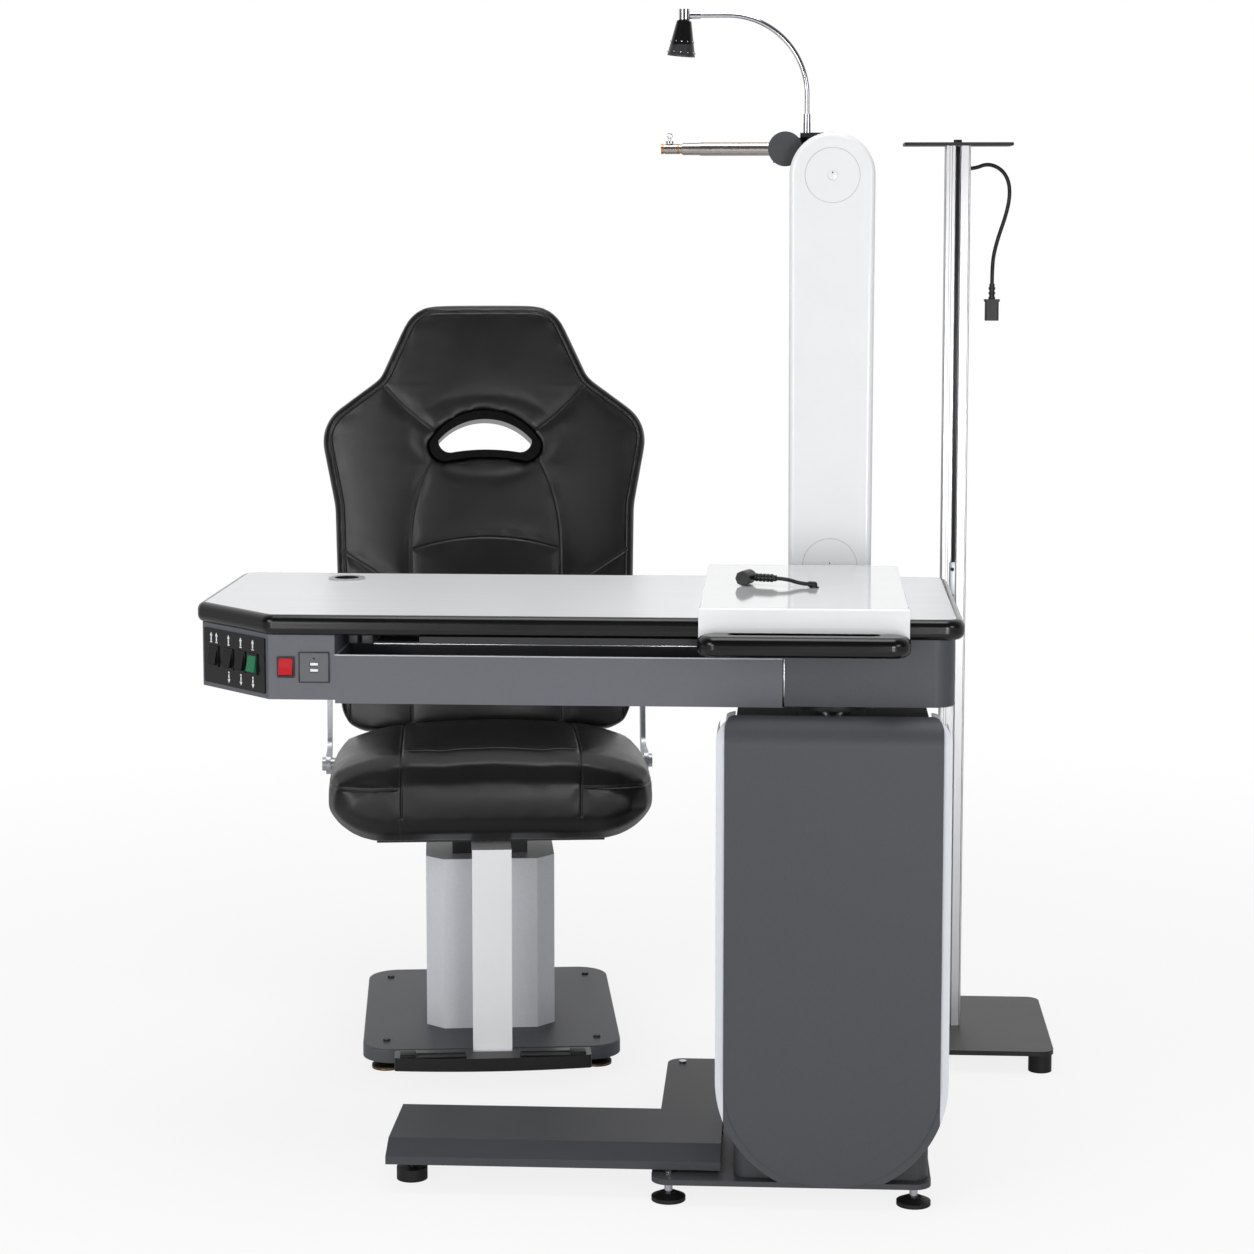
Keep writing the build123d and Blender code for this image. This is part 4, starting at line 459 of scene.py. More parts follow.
class Bench:
    """Modelling steps that the pieces share."""

    angle = math.radians(40.0)
    facing = 0.9

    @staticmethod
    def settle(piece: Piece, place: Matrix | None = None) -> Piece:
        """Moves a piece's place into its mesh, so its object sits at the origin.

        Args:
            piece: the object to settle.
            place: extra transform applied after the object's own.

        Returns:
            The same object.
        """
        bpy.context.view_layer.update()
        matrix = (place or Matrix.Identity(4)) @ piece.matrix_world
        piece.data.transform(matrix)
        piece.matrix_world = Matrix.Identity(4)
        piece.data.update()
        return piece

    @staticmethod
    def block(low: Sequence[float], high: Sequence[float]) -> Piece:
        """Adds a block between two corners as the start of a piece."""
        bpy.ops.object.select_all(action="DESELECT")
        low, high = Vector(low), Vector(high)
        bpy.ops.mesh.primitive_cube_add(size=1.0, location=(low + high) / 2, scale=high - low)
        return Bench.settle(bpy.context.active_object)

    @staticmethod
    def rod(start: Sequence[float], along: Sequence[float], radius: float,
            sides: int = 48) -> Piece:
        """Adds a round rod from a point along a vector as the start of a piece."""
        bpy.ops.object.select_all(action="DESELECT")
        start, along = Vector(start), Vector(along)
        turn = along.to_track_quat("Z", "Y").to_euler()
        bpy.ops.mesh.primitive_cylinder_add(vertices=sides, radius=radius, depth=along.length,
                                            location=start + along / 2, rotation=turn)
        return Bench.settle(bpy.context.active_object)

    @staticmethod
    def sink(piece: Piece, facing: Vector, thickness: float, depth: float) -> None:
        """Insets the face that looks one way and sinks its middle."""
        with editing(piece) as mesh:
            for face in mesh.faces:
                face.select_set(face.normal.dot(facing) > Bench.facing)
            bpy.ops.mesh.inset(thickness=thickness, depth=0.0)
            bpy.ops.mesh.extrude_region_move(TRANSFORM_OT_translate={"value": -facing * depth})

    @staticmethod
    def round_edges(piece: Piece, width: float, segments: int) -> None:
        """Bevels the sharp edges of a piece and shades it smooth."""
        single_out(piece)
        bevel = piece.modifiers.new("edge", "BEVEL")
        bevel.width, bevel.segments = width, segments
        bevel.limit_method, bevel.angle_limit = "ANGLE", Bench.angle
        bpy.ops.object.modifier_apply(modifier=bevel.name)
        bpy.ops.object.shade_smooth_by_angle(angle=Bench.angle)

    @staticmethod
    def join(name: str, parts: Sequence[Piece]) -> Piece:
        """Joins parts of one kind into one named piece."""
        single_out(parts[0])
        if len(parts) > 1:
            for part in parts:
                part.select_set(True)
            bpy.ops.object.join()
        parts[0].name = name
        return parts[0]

    @staticmethod
    def dress(piece: Piece, finish: Finish, body: str, slot: str) -> None:
        """Gives a piece its finish and its body, and reports it."""
        piece.data.materials.clear()
        piece.data.materials.append(finish.build())
        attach(piece, body)
        LOG.info("piece %s rides on %s", piece.name, body)

    @staticmethod
    def complete(name: str, parts: Sequence[Piece], edge: float, segments: int, finish: Finish,
                 body: str, slot: str) -> None:
        """Joins parts into one piece, rounds its edges and dresses it.

        Args:
            name: the piece's name.
            parts: what it is joined from.
            edge: width of its rounded edges, or zero for none.
            segments: steps of each rounded edge.
            finish: its surface.
            body: the body that it rides on.
            slot: its colour slot; not used.
        """
        piece = Bench.join(name, parts)
        if edge:
            Bench.round_edges(piece, edge, segments)
        Bench.dress(piece, finish, body, slot)

    @staticmethod
    def link(name: str, data: bpy.types.ID) -> Piece:
        """Puts a mesh or curve into the scene as a new object."""
        piece = bpy.data.objects.new(name, data)
        bpy.context.scene.collection.objects.link(piece)
        return piece


@dataclass
class Studio:
    """Camera at the photograph's viewpoint, pale floor and soft lamps."""

    axis: Vector
    eye: Point = (-0.061, -4.1655, 1.436)
    turn_left: float = math.radians(3.32)
    look_down: float = math.radians(6.0)
    focal_px: float = 2867.0
    centre_rise_px: float = 116.1
    sensor: float = 36.0
    sight: float = 60.0
    floor_half: float = 14.0
    floor_colour: Colour = (243, 243, 244)
    floor_roughness: float = 0.9
    floor_specular: float = 0.1
    near_share: float = 0.84
    mirror_share: float = 0.25
    fade: tuple[float, float] = (0.7, 3.4)
    world_light: float = 0.32
    gloss_front: float = 0.1
    gloss_turn: tuple[float, float] = (-0.25, 0.75)
    aim: Point = (0.0, -0.1, 0.8)
    lamps: tuple[tuple[str, Point, float, float], ...] = (
        ("key_box", (-3.0, -4.2, 2.1), 1.7, 58.0),
        ("side_box", (3.2, -3.8, 1.9), 1.5, 30.0),
        ("low_left", (-1.8, -5.0, 0.8), 1.2, 34.0),
        ("low_right", (1.35, -4.8, 0.7), 1.0, 46.0),
        ("top_box", (0.0, -0.5, 4.2), 2.2, 62.0))

    def build(self) -> None:
        """Adds the camera, the floor, the world and the lamps."""
        self.add_camera()
        self.add_floor()
        self.add_world()
        for name, place, size, power in self.lamps:
            self.add_lamp(name, Vector(place), size, power)

    def add_camera(self) -> None:
        """Adds the camera and makes it the scene's own."""
        data = bpy.data.cameras.new("camera")
        data.sensor_fit, data.sensor_width = "HORIZONTAL", self.sensor
        data.lens = self.focal_px / PHOTO_SIDE * self.sensor
        data.shift_y = -self.centre_rise_px / PHOTO_SIDE
        data.clip_end = self.sight
        camera = Bench.link("camera", data)
        camera.location = self.axis + Vector(self.eye)
        camera.rotation_euler = (math.pi / 2 - self.look_down, 0.0, self.turn_left)
        bpy.context.scene.camera = camera

    def add_floor(self) -> None:
        """Adds a wide pale floor."""
        bpy.ops.object.select_all(action="DESELECT")
        bpy.ops.mesh.primitive_plane_add(size=2 * self.floor_half)
        floor = bpy.context.active_object
        floor.name = "floor"
        material = bpy.data.materials.new("floor_pale")
        material.use_nodes = True
        wiring = Wiring(material.node_tree)
        shader = wiring.tree.nodes["Principled BSDF"]
        for name, value in (("Base Color", linear(self.floor_colour)),
                            ("Roughness", self.floor_roughness),
                            ("Specular IOR Level", self.floor_specular)):
            shader.inputs[name].default_value = value
        self.light_up(wiring, shader.outputs[0])
        floor.data.materials.append(material)

    def light_up(self, wiring: Wiring, shaded: Socket) -> None:
        """Lifts the floor towards white where it is seen, but keeps the object's shadow."""
        path = wiring.add("ShaderNodeLightPath").outputs
        mirrored = wiring.maths("MULTIPLY", path["Is Glossy Ray"], self.mirror_share)
        seen = wiring.maths("MAXIMUM", path["Is Camera Ray"], mirrored)
        place = wiring.add("ShaderNodeTexCoord").outputs["Object"]
        reach = wiring.vectors("LENGTH", place).outputs["Value"]
        faded = wiring.ramp(reach, *self.fade, self.near_share)
        glow = wiring.add("ShaderNodeEmission", Color=WHITE, Strength=1.0)
        mix = wiring.add("ShaderNodeMixShader")
        for index, value in enumerate((wiring.maths("MULTIPLY", seen, faded), shaded,
                                       glow.outputs[0])):
            wiring.feed(mix.inputs[index], value)
        output = wiring.tree.nodes["Material Output"]
        wiring.feed(output.inputs["Surface"], mix.outputs[0])

    def add_world(self) -> None:
        """Adds a world that is white where it is seen and softer where it lights.

        A reflection is white towards the backdrop and low towards the room.
        """
        world = bpy.data.worlds.new("studio")
        world.use_nodes = True
        wiring = Wiring(world.node_tree)
        path = wiring.add("ShaderNodeLightPath").outputs
        seen = wiring.maths("MAXIMUM", path["Is Camera Ray"], path["Is Transmission Ray"])
        place = wiring.add("ShaderNodeTexCoord").outputs["Generated"]
        behind = wiring.add("ShaderNodeSeparateXYZ", Vector=place).outputs["Y"]
        share = wiring.ramp(behind, *self.gloss_turn, self.gloss_front)
        shown = wiring.maths("MAXIMUM", seen,
                             wiring.maths("MULTIPLY", path["Is Glossy Ray"], share))
        plain = wiring.maths("SUBTRACT", 1.0, path["Is Glossy Ray"])
        soft = wiring.maths("MULTIPLY", plain, self.world_light)
        background = wiring.tree.nodes["Background"]
        background.inputs["Color"].default_value = WHITE
        wiring.feed(background.inputs["Strength"], wiring.maths("MAXIMUM", soft, shown))
        bpy.context.scene.world = world
        bpy.context.scene.view_settings.view_transform = "Standard"

    def add_lamp(self, name: str, place: Vector, size: float, power: float) -> None:
        """Adds one soft box that looks at the middle of the unit."""
        data = bpy.data.lights.new(name, "AREA")
        data.shape, data.size, data.energy = "SQUARE", size, power
        lamp = Bench.link(name, data)
        lamp.location = place
        lamp.rotation_euler = (Vector(self.aim) - place).to_track_quat("-Z", "Y").to_euler()


@dataclass
class Leads:
    """Lead of the projector stand and short lead of the tray."""

    axis: Vector
    stand_diameter: float = 6.5 * MM
    stand_exit: Point = (0.222, 0.700, 1.504)
    stand_steps: tuple[tuple[float, float], ...] = (
        (0, 0), (18, 0), (40, 9), (63, 0), (76, -20), (78, -48), (71, -80), (60, -112),
        (52, -143), (50, -168), (50, -192))
    tray_diameter: float = 6.0 * MM
    tray_points: tuple[Point, ...] = (
        (-0.084678, 0.162839, 0.8786), (-0.069643, 0.157367, 0.8786),
        (-0.047845, 0.15472, 0.872), (-0.035157, 0.148804, 0.872))
    smoothness: int = 16
    roundness: int = 6

    def build(self, nodes: dict[str, Piece]) -> None:
        """Args:
            nodes: the CAD nodes by name; not used.
        """
        start = self.axis + Vector(self.stand_exit)
        points = [tuple(start + Vector((out, 0, up)) * MM) for out, up in self.stand_steps]
        stand = self.lead("stand_cord", points, self.stand_diameter, "base", "stand_lead")
        points = [tuple(self.axis + Vector(point)) for point in self.tray_points]
        tray = self.lead("tray_cord", points, self.tray_diameter, "tray", "tray_lead")
        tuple(points[-1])

    def lead(self, name: str, points: Sequence[Point], diameter: float, body: str,
             node: str) -> Piece:
        """Makes one round rubber lead on a smooth line.

        Args:
            name: the piece's name.
            points: control points of the route.
            diameter: the lead's outside diameter.
            body: the body that it rides on.
            node: the CAD node that it stands for.

        Returns:
            The new curve object.
        """
        data = bpy.data.curves.new(name, "CURVE")
        data.dimensions = "3D"
        spline = data.splines.new("NURBS")
        spline.points.add(len(points) - 1)
        for point, place in zip(spline.points, points):
            point.co = (*place, 1.0)
        spline.order_u, spline.use_endpoint_u = 3, True
        spline.resolution_u = self.smoothness
        data.bevel_depth, data.bevel_resolution = diameter / 2, self.roundness
        data.use_fill_caps = True
        piece = Bench.link(name, data)
        Bench.dress(piece, LEAD_RUBBER, body, "black_rubber")
        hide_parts(node)
        return piece


@dataclass
class ControlPanel:
    """Printed marks on the control panel, and the socket's tongues, rim and dot."""

    axis: Vector
    face_middle: Point = (-0.884, -0.002, 0.772)
    panel_width: float = 158 * MM
    panel_rise: float = 2.5 * MM
    print_depth: float = 0.15 * MM
    place_shares: tuple[float, ...] = (-0.335, -0.089, 0.112, 0.309)
    pair_half: float = 7 * MM
    mark: float = 26 * MM
    arrow_radius: float = 4 * MM
    arrow_shift: float = 6 * MM
    stem: float = 3 * MM
    stem_heights: tuple[float, float] = (7 * MM, 6 * MM)
    foot: tuple[float, float] = (6 * MM, 1.6 * MM)
    foot_shift: float = 5 * MM
    spot_radius: float = 1.7 * MM
    spot_shift: float = 5.5 * MM
    tongue: Point = (5.9 * MM, 9.1 * MM, 2.0 * MM)
    tongue_inset: float = 0.9 * MM
    tongue_rise: float = 4.5 * MM
    dot_rise: float = 13 * MM
    dot_depths: tuple[float, float] = (0.2 * MM, 0.5 * MM)
    dot_radius: float = 1.4 * MM
    rim_rise: float = 0.7 * MM
    rim_width: float = 1.5 * MM

    def face(self) -> Matrix:
        """Frame of the angled face: x along the panel, y up, z outwards."""
        root = math.sqrt(0.5)
        rows = ((root, 0, -root), (-root, 0, -root), (0, 1, 0))
        return Matrix.Translation(self.axis + Vector(self.face_middle)) @ Matrix(rows).to_4x4()

    def bar(self, x: float, y: float, width: float, height: float) -> Piece:
        """Adds one flat printed bar on the panel's plane."""
        return Bench.block((x - width / 2, y - height / 2, self.panel_rise),
                           (x + width / 2, y + height / 2, self.panel_rise + self.print_depth))

    def arrow(self, x: float, y: float, turn: float) -> Piece:
        """Adds one flat printed arrow head on the panel's plane."""
        bpy.ops.object.select_all(action="DESELECT")
        middle = (x, y, self.panel_rise + self.print_depth / 2)
        bpy.ops.mesh.primitive_cylinder_add(vertices=3, radius=self.arrow_radius,
                                            depth=self.print_depth, location=middle,
                                            rotation=(0.0, 0.0, turn))
        return Bench.settle(bpy.context.active_object)

    def build(self) -> None:
        """Prints an arrow over and under each rocker, and dresses the socket."""
        marks = []
        for index, share in enumerate(self.place_shares):
            x = share * self.panel_width
            for shift in (-self.pair_half, self.pair_half) if index == 0 else (0.0,):
                marks += [self.arrow(x + shift, self.mark + self.arrow_shift, 0.0),
                          self.bar(x + shift, self.mark, self.stem, self.stem_heights[0]),
                          self.bar(x + shift, self.mark - self.foot_shift, *self.foot)]
            if index:
                spot = (x, -self.mark + self.spot_shift, self.panel_rise)
                marks += [self.arrow(x, -self.mark - self.arrow_shift, math.pi),
                          self.bar(x, -self.mark, self.stem, self.stem_heights[1]),
                          Bench.rod(spot, (0, 0, self.print_depth), self.spot_radius, 20)]
        printed = Bench.join("panel_marks", marks)
        Bench.settle(printed, self.face())
        Bench.dress(printed, MARK_WHITE, "table", "white_paint")
        self.add_socket_faces(*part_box("charging_socket"))

    def add_socket_faces(self, low: Vector, high: Vector) -> None:
        """Adds the tongues in both charging slots, the dark rim and the dot."""
        x, z = (low.x + high.x) / 2, (low.z + high.z) / 2
        half, deep, thick = self.tongue
        front = low.y + self.tongue_inset
        tongues = [Bench.block((x - half, front, z + rise - thick),
                               (x + half, front + deep, z + rise + thick))
                   for rise in (self.tongue_rise, -self.tongue_rise)]
        Bench.complete("socket_tongues", tongues, 0.4 * MM, 2, MARK_WHITE, "table",
                       "white_paint")
        near, far = low.y - self.rim_rise, low.y + self.rim_rise
        left, right = low.x + self.rim_width, high.x - self.rim_width
        under, over = low.z + self.rim_width, high.z - self.rim_width
        bars = [Bench.block((x0, near, z0), (x1, far, z1)) for x0, z0, x1, z1 in (
            (low.x, low.z, high.x, under), (low.x, over, high.x, high.z),
            (low.x, under, left, over), (right, under, high.x, over))]
        Bench.complete("socket_rim", bars, 0.25 * MM, 2, BLACK_PLASTIC, "table",
                       "black_plastic")
        inner, deep = self.dot_depths
        dot = Bench.rod((x, low.y + inner, z + self.dot_rise), (0, -deep, 0), self.dot_radius, 24)
        Bench.complete("socket_dot", [dot], 0.15 * MM, 2, BLACK_GLOSS, "table", "black_gloss")


@dataclass
class UnderTable:
    """Folded sheet tray and the terminal blocks that show in the gap over the beam."""

    axis: Vector
    sheet_low: Point = (-0.672, -0.038, 0.8015)
    sheet_high: Point = (-0.150, 0.0605, 0.8033)
    fold: float = 1.6 * MM
    lip: float = 3.4 * MM
    rim: float = 1.2 * MM
    terminals: tuple[tuple[float, float], ...] = ((-0.714, 0.012), (-0.695, 0.016))
    terminal_front: float = -0.001
    terminal_low: float = 0.7985
    terminal_size: tuple[float, float] = (0.03, 0.0215)

    def build(self) -> None:
        """Builds the sheet tray with its folded lip, and the blocks beside it."""
        low, high = self.axis + Vector(self.sheet_low), self.axis + Vector(self.sheet_high)
        tray = Bench.block(low, high)
        with editing(tray):
            bpy.ops.mesh.select_all(action="SELECT")
            bpy.ops.mesh.bisect(plane_co=(0, low.y + self.fold, 0), plane_no=(0, 1, 0))
        with editing(tray) as mesh:
            for face in mesh.faces:
                middle = face.calc_center_median()
                face.select_set(face.normal.z > Bench.facing and middle.y < low.y + self.fold)
            bpy.ops.mesh.extrude_region_move(
                TRANSFORM_OT_translate={"value": (0, 0, self.lip)})
        Bench.complete("cable_sheet", [tray], 0.5 * MM, 2, DARK_STEEL, "table", "inner_steel")
        # A bright steel strip along the sheet's front lip: a painted highlight on the lip's edge.
        edge = Bench.block((low.x, low.y - self.rim, high.z), (high.x, low.y, high.z + self.rim))
        Bench.complete("cable_sheet_lip_highlight", [edge], 0.3 * MM, 2, NUT_STEEL, "table", "steel")
        blocks = []
        for x, width in self.terminals:
            low = self.axis + Vector((x, self.terminal_front, self.terminal_low))
            blocks.append(Bench.block(low, low + Vector((width, *self.terminal_size))))
        Bench.complete("terminal_blocks", blocks, 0.8 * MM, 2, SOCKET_GREY, "table",
                       "socket_grey")


@dataclass
class ArmDetails:
    """Round plugs in the arm's two caps, their pins and the lines round them."""

    axis: Vector
    front: float = 0.467
    heights: tuple[float, float] = (0.861, 1.491)
    ring_radius: float = 44 * MM
    line: float = 0.55 * MM
    plug_radius: float = 7.5 * MM
    plug_rise: float = 0.9 * MM
    pin_radius: float = 1.3 * MM
    pin_rise: float = 0.6 * MM
    pin_lift: float = 4.2 * MM
    overlap: float = 0.2 * MM

    def build(self) -> None:
        """Builds the plugs, their small pins and the thin lines."""
        plugs, pins, rings = [], [], []
        for z in self.heights:
            seat = self.axis + Vector((0, self.front + self.overlap, z))
            rings += [self.ring(seat, self.ring_radius), self.ring(seat, self.plug_radius)]
            out = Vector((0, -self.plug_rise - self.overlap, 0))
            plugs.append(Bench.rod(seat, out, self.plug_radius))
            pin = seat + out + Vector((0, self.overlap, self.pin_lift))
            pins.append(Bench.rod(pin, (0, -self.pin_rise, 0), self.pin_radius, 20))
        for name, parts, edge, segments, finish, slot in (
                ("cap_plugs", plugs, 0.4 * MM, 3, ARM_WHITE, "arm_white"),
                ("cap_pins", pins, 0.2 * MM, 2, BLACK_PLASTIC, "black_plastic"),
                ("cap_lines", rings, 0.0, 0, GROMMET_SILVER, "silver_shell")):
            Bench.complete(name, parts, edge, segments, finish, "arm", slot)

    def ring(self, middle: Vector, radius: float) -> Piece:
        """Makes the thin line round a cap, half sunk in the arm's face."""
        bpy.ops.object.select_all(action="DESELECT")
        bpy.ops.mesh.primitive_torus_add(location=middle, rotation=(math.pi / 2, 0, 0),
                                         major_radius=radius, minor_radius=self.line,
                                         major_segments=96, minor_segments=8)
        bpy.ops.object.shade_smooth()
        return Bench.settle(bpy.context.active_object)


@dataclass
class LampDetails:
    """Small bright studs round the lamp shade's band and its rim: painted glints, standing in for
    light reflected on the shade.
    """

    count: int = 12
    radius: float = 1.2 * MM
    reach: float = 1.4 * MM
    rows: tuple[tuple[float, float], ...] = ((20.5 * MM, 0.0186), (3.0 * MM, 0.0222))
    lean: float = math.radians(5.0)

    def build(self) -> None:
        """Builds both rows of glint studs on the leaning shade."""
        low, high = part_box("lamp_lens")
        turn = Matrix.Translation((low + high) / 2) @ Matrix.Rotation(self.lean, 4, "Y")
        # Each stud is a painted glint: a bright dot standing in for light reflected on the shade.
        glint_studs = []
        for lift, radius in self.rows:
            for index in range(self.count):
                angle = 2 * math.pi * index / self.count
                out = Vector((math.cos(angle), math.sin(angle), 0))
                seat = turn @ (out * radius + Vector((0, 0, lift)))
                tip = turn @ (out * (radius + self.reach) + Vector((0, 0, lift)))
                glint_studs.append(Bench.rod(seat, tip - seat, self.radius, 12))
        Bench.complete("shade_painted_glints", glint_studs, 0.3 * MM, 2, NUT_STEEL, "lamp", "steel")


@dataclass
class HousingSeam:
    """Dark strip of painted shade between the beam and the head housing, and a bright strip that
    is a painted highlight on the housing's edge.
    """

    gap: float = 1.8 * MM
    edge: float = 1.1 * MM
    proud: float = 0.35 * MM
    foot: float = 1.0 * MM

    def build(self) -> None:
        """Builds the two narrow strips on the front face."""
        low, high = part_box("beam")
        # The dark strip is painted shade in the gap, the bright strip a painted highlight on the
        # housing's edge.
        for name, start, width, finish, slot in (
                ("joint_gap_painted_shade", high.x - self.gap, self.gap, PANEL_BLACK, "black_gloss"),
                ("joint_edge_painted_highlight", high.x, self.edge, NUT_STEEL, "steel")):
            strip = Bench.block((start, low.y - self.proud, low.z + self.foot),
                                (start + width, low.y + self.proud, high.z))
            Bench.complete(name, [strip], 0.15 * MM, 2, finish, "table", slot)


@dataclass
class StandDetails:
    """Cover strip in the stand's front slot, and the small plate with two screws below it."""

    strip_half: float = 2.9 * MM
    strip_depths: tuple[float, float] = (0.4 * MM, 3 * MM)
    strip_low: float = 0.842
    strip_end: float = 1 * MM
    plate_low: float = 0.778
    plate_half: float = 5.5 * MM
    plate_shift: float = 2 * MM
    plate_thickness: float = 1.6 * MM
    screw_margins: tuple[float, float] = (7 * MM, 12 * MM)
    screw_height: float = 2.6 * MM
    screw_radius: float = 3.2 * MM
    screw_wall: float = 1.5 * MM
    screw_socket: float = 1.4 * MM

    def build(self) -> None:
        """Builds the strip, the plate and its socket screws."""
        low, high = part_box("stand_profile")
        x = (low.x + high.x) / 2
        inner, outer = (low.y + depth for depth in self.strip_depths)
        strip = Bench.block((x - self.strip_half, inner, self.strip_low),
                            (x + self.strip_half, outer, high.z - self.strip_end))
        Bench.complete("slot_strip", [strip], 0.5 * MM, 2, BLACK_PLASTIC, "base",
                       "black_plastic")
        x -= self.plate_shift
        front = low.y - self.plate_thickness
        plate = Bench.block((x - self.plate_half, front, self.plate_low),
                            (x + self.plate_half, low.y, self.strip_low))
        Bench.complete("slot_plate", [plate], 0.7 * MM, 3, BRACKET_ALUMINIUM, "base",
                       "aluminium")
        screws = []
        for z in (self.plate_low + self.screw_margins[0], self.strip_low - self.screw_margins[1]):
            screw = Bench.rod((x, front, z), (0, -self.screw_height, 0), self.screw_radius, 24)
            Bench.sink(screw, Vector((0, -1, 0)), self.screw_wall, self.screw_socket)
            screws.append(screw)
        Bench.complete("slot_plate_screws", screws, 0.3 * MM, 2, BLACK_PLASTIC, "base",
                       "black_plastic")


@dataclass
class ChairFrame:
    """Place of the chair: its own frame, turned beside the table."""

    axis: Vector
    offset: Point = (-0.586, 0.730, 0.0)
    yaw: float = math.radians(7.0)
    back_lean: float = math.radians(9.0)
    back_foot: Point = (0.0, 0.152, 0.505)

    def seat_place(self) -> Matrix:
        """Frame of the seat, with its front towards -Y."""
        middle = self.axis + Vector(self.offset)
        return Matrix.Translation(middle) @ Matrix.Rotation(self.yaw, 4, "Z")

    def back_place(self) -> Matrix:
        """Frame of the backrest: x across, y backwards, z up along its leaning plane."""
        lean = Matrix.Rotation(-self.back_lean, 4, "X")
        return self.seat_place() @ Matrix.Translation(self.back_foot) @ lean


class Padding:
    """Turns a CAD cushion into a stuffed leather form with its seams."""

    voxel = 6 * MM
    weld = 0.01 * MM
    shrink = 2.5 * MM
    cap = 9 * MM
    pressure = 4.0
    frames = 20
    least_hold = 0.02
    quality = 4
    factor = 0.5
    rounds = (3, 4)
    fill = 0.8

    def __init__(self, name: str, node: Piece, place: Matrix) -> None:
        """Copies the CAD cushion and makes an even mesh of it.

        Args:
            name: the piece's name.
            node: the CAD cushion.
            place: the cushion's own frame.
        """
        self.place = place
        self.inverse = place.inverted()
        self.piece = Bench.link(name, node.data.copy())
        with editing(self.piece):
            bpy.ops.mesh.select_all(action="SELECT")
            bpy.ops.mesh.remove_doubles(threshold=self.weld)
            bpy.ops.mesh.normals_make_consistent(inside=False)
        self.apply("REMESH", mode="VOXEL", voxel_size=self.voxel)
        self.apply("SMOOTH", factor=self.factor, iterations=self.rounds[0])

    def apply(self, kind: str, **settings: object) -> None:
        """Adds one modifier with its settings and applies it."""
        modifier = self.piece.modifiers.new(kind.lower(), kind)
        for name, value in settings.items():
            setattr(modifier, name, value)
        single_out(self.piece)
        bpy.ops.object.modifier_apply(modifier=modifier.name)

    def read(self, mesh: bpy.types.Mesh, channel: str) -> np.ndarray:
        """One channel of a mesh's vertices, turned into the cushion's own frame."""
        values = np.empty(len(mesh.vertices) * 3)
        mesh.vertices.foreach_get(channel, values)
        return values.reshape(-1, 3) @ np.array(self.inverse.to_3x3()).T

    def coordinates(self) -> tuple[np.ndarray, np.ndarray]:
        """Vertex places and normals in the cushion's own frame."""
        data = self.piece.data
        return (self.read(data, "co") + np.array(self.inverse.translation),
                self.read(data, "normal"))

    def move(self, places: np.ndarray) -> None:
        """Writes vertex places, given in the cushion's own frame, back to the mesh."""
        turn = np.array(self.place.to_3x3())
        world = places @ turn.T + np.array(self.place.translation)
        self.piece.data.vertices.foreach_set("co", world.ravel())
        self.piece.data.update()

    def inflate(self, held: np.ndarray) -> None:
        """Shrinks the form, lets cloth swell it, and caps how far each point rises.

        Args:
            held: weight from 0 to 1 of how firmly each vertex is held by its seams.
        """
        before, normals = self.coordinates()
        self.move(before - normals * self.shrink * (1 - held)[:, None])
        start, _ = self.coordinates()
        after = self.swell(held)
        rise = np.maximum(((after - start) * normals).sum(axis=1), 0)
        self.move(start + normals * (self.cap * np.tanh(rise / self.cap))[:, None])
        self.apply("SMOOTH", factor=self.factor, iterations=self.rounds[1])

    def swell(self, held: np.ndarray) -> np.ndarray:
        """Runs the form as cloth under inner pressure and returns its vertex places."""
        group = self.piece.vertex_groups.new(name="held")
        for index, weight in enumerate(held):
            if weight > self.least_hold:
                group.add([index], float(weight), "REPLACE")
        cloth = self.piece.modifiers.new("cloth", "CLOTH")
        settings = cloth.settings
        settings.use_pressure = True
        settings.uniform_pressure_force = self.pressure
        settings.effector_weights.gravity = 0.0
        settings.vertex_group_mass = "held"
        settings.quality = self.quality
        cloth.collision_settings.use_collision = False
        scene = bpy.context.scene
        for frame in range(1, self.frames + 1):
            scene.frame_set(frame)
        graph = bpy.context.evaluated_depsgraph_get()
        swollen = self.piece.evaluated_get(graph)
        after = self.read(swollen.to_mesh(), "co") + np.array(self.inverse.translation)
        swollen.to_mesh_clear()
        self.piece.modifiers.remove(cloth)
        scene.frame_set(1)
        return after

    def refine(self, near: Callable[[np.ndarray, np.ndarray], np.ndarray]) -> None:
        """Subdivides the whole form once, and the faces beside the seams once more."""
        self.apply("SUBSURF", levels=1, render_levels=1)
        close = near(*self.coordinates())
        with editing(self.piece) as mesh:
            for face in mesh.faces:
                face.select_set(any(close[v.index] for v in face.verts))
            bmesh.update_edit_mesh(self.piece.data)
            bpy.ops.mesh.subdivide(number_cuts=1, smoothness=0.0)

    def finish(self, node: str) -> BVHTree:
        single_out(self.piece)
        bpy.ops.object.shade_smooth()
        attributes = self.piece.data.attributes
        for name in [a.name for a in attributes if a.name.startswith("_")]:
            attributes.remove(attributes[name])
        self.piece.vertex_groups.clear()
        Bench.dress(self.piece, LEATHER, "chair", "leather")
        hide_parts(node)
        return BVHTree.FromObject(self.piece, bpy.context.evaluated_depsgraph_get())


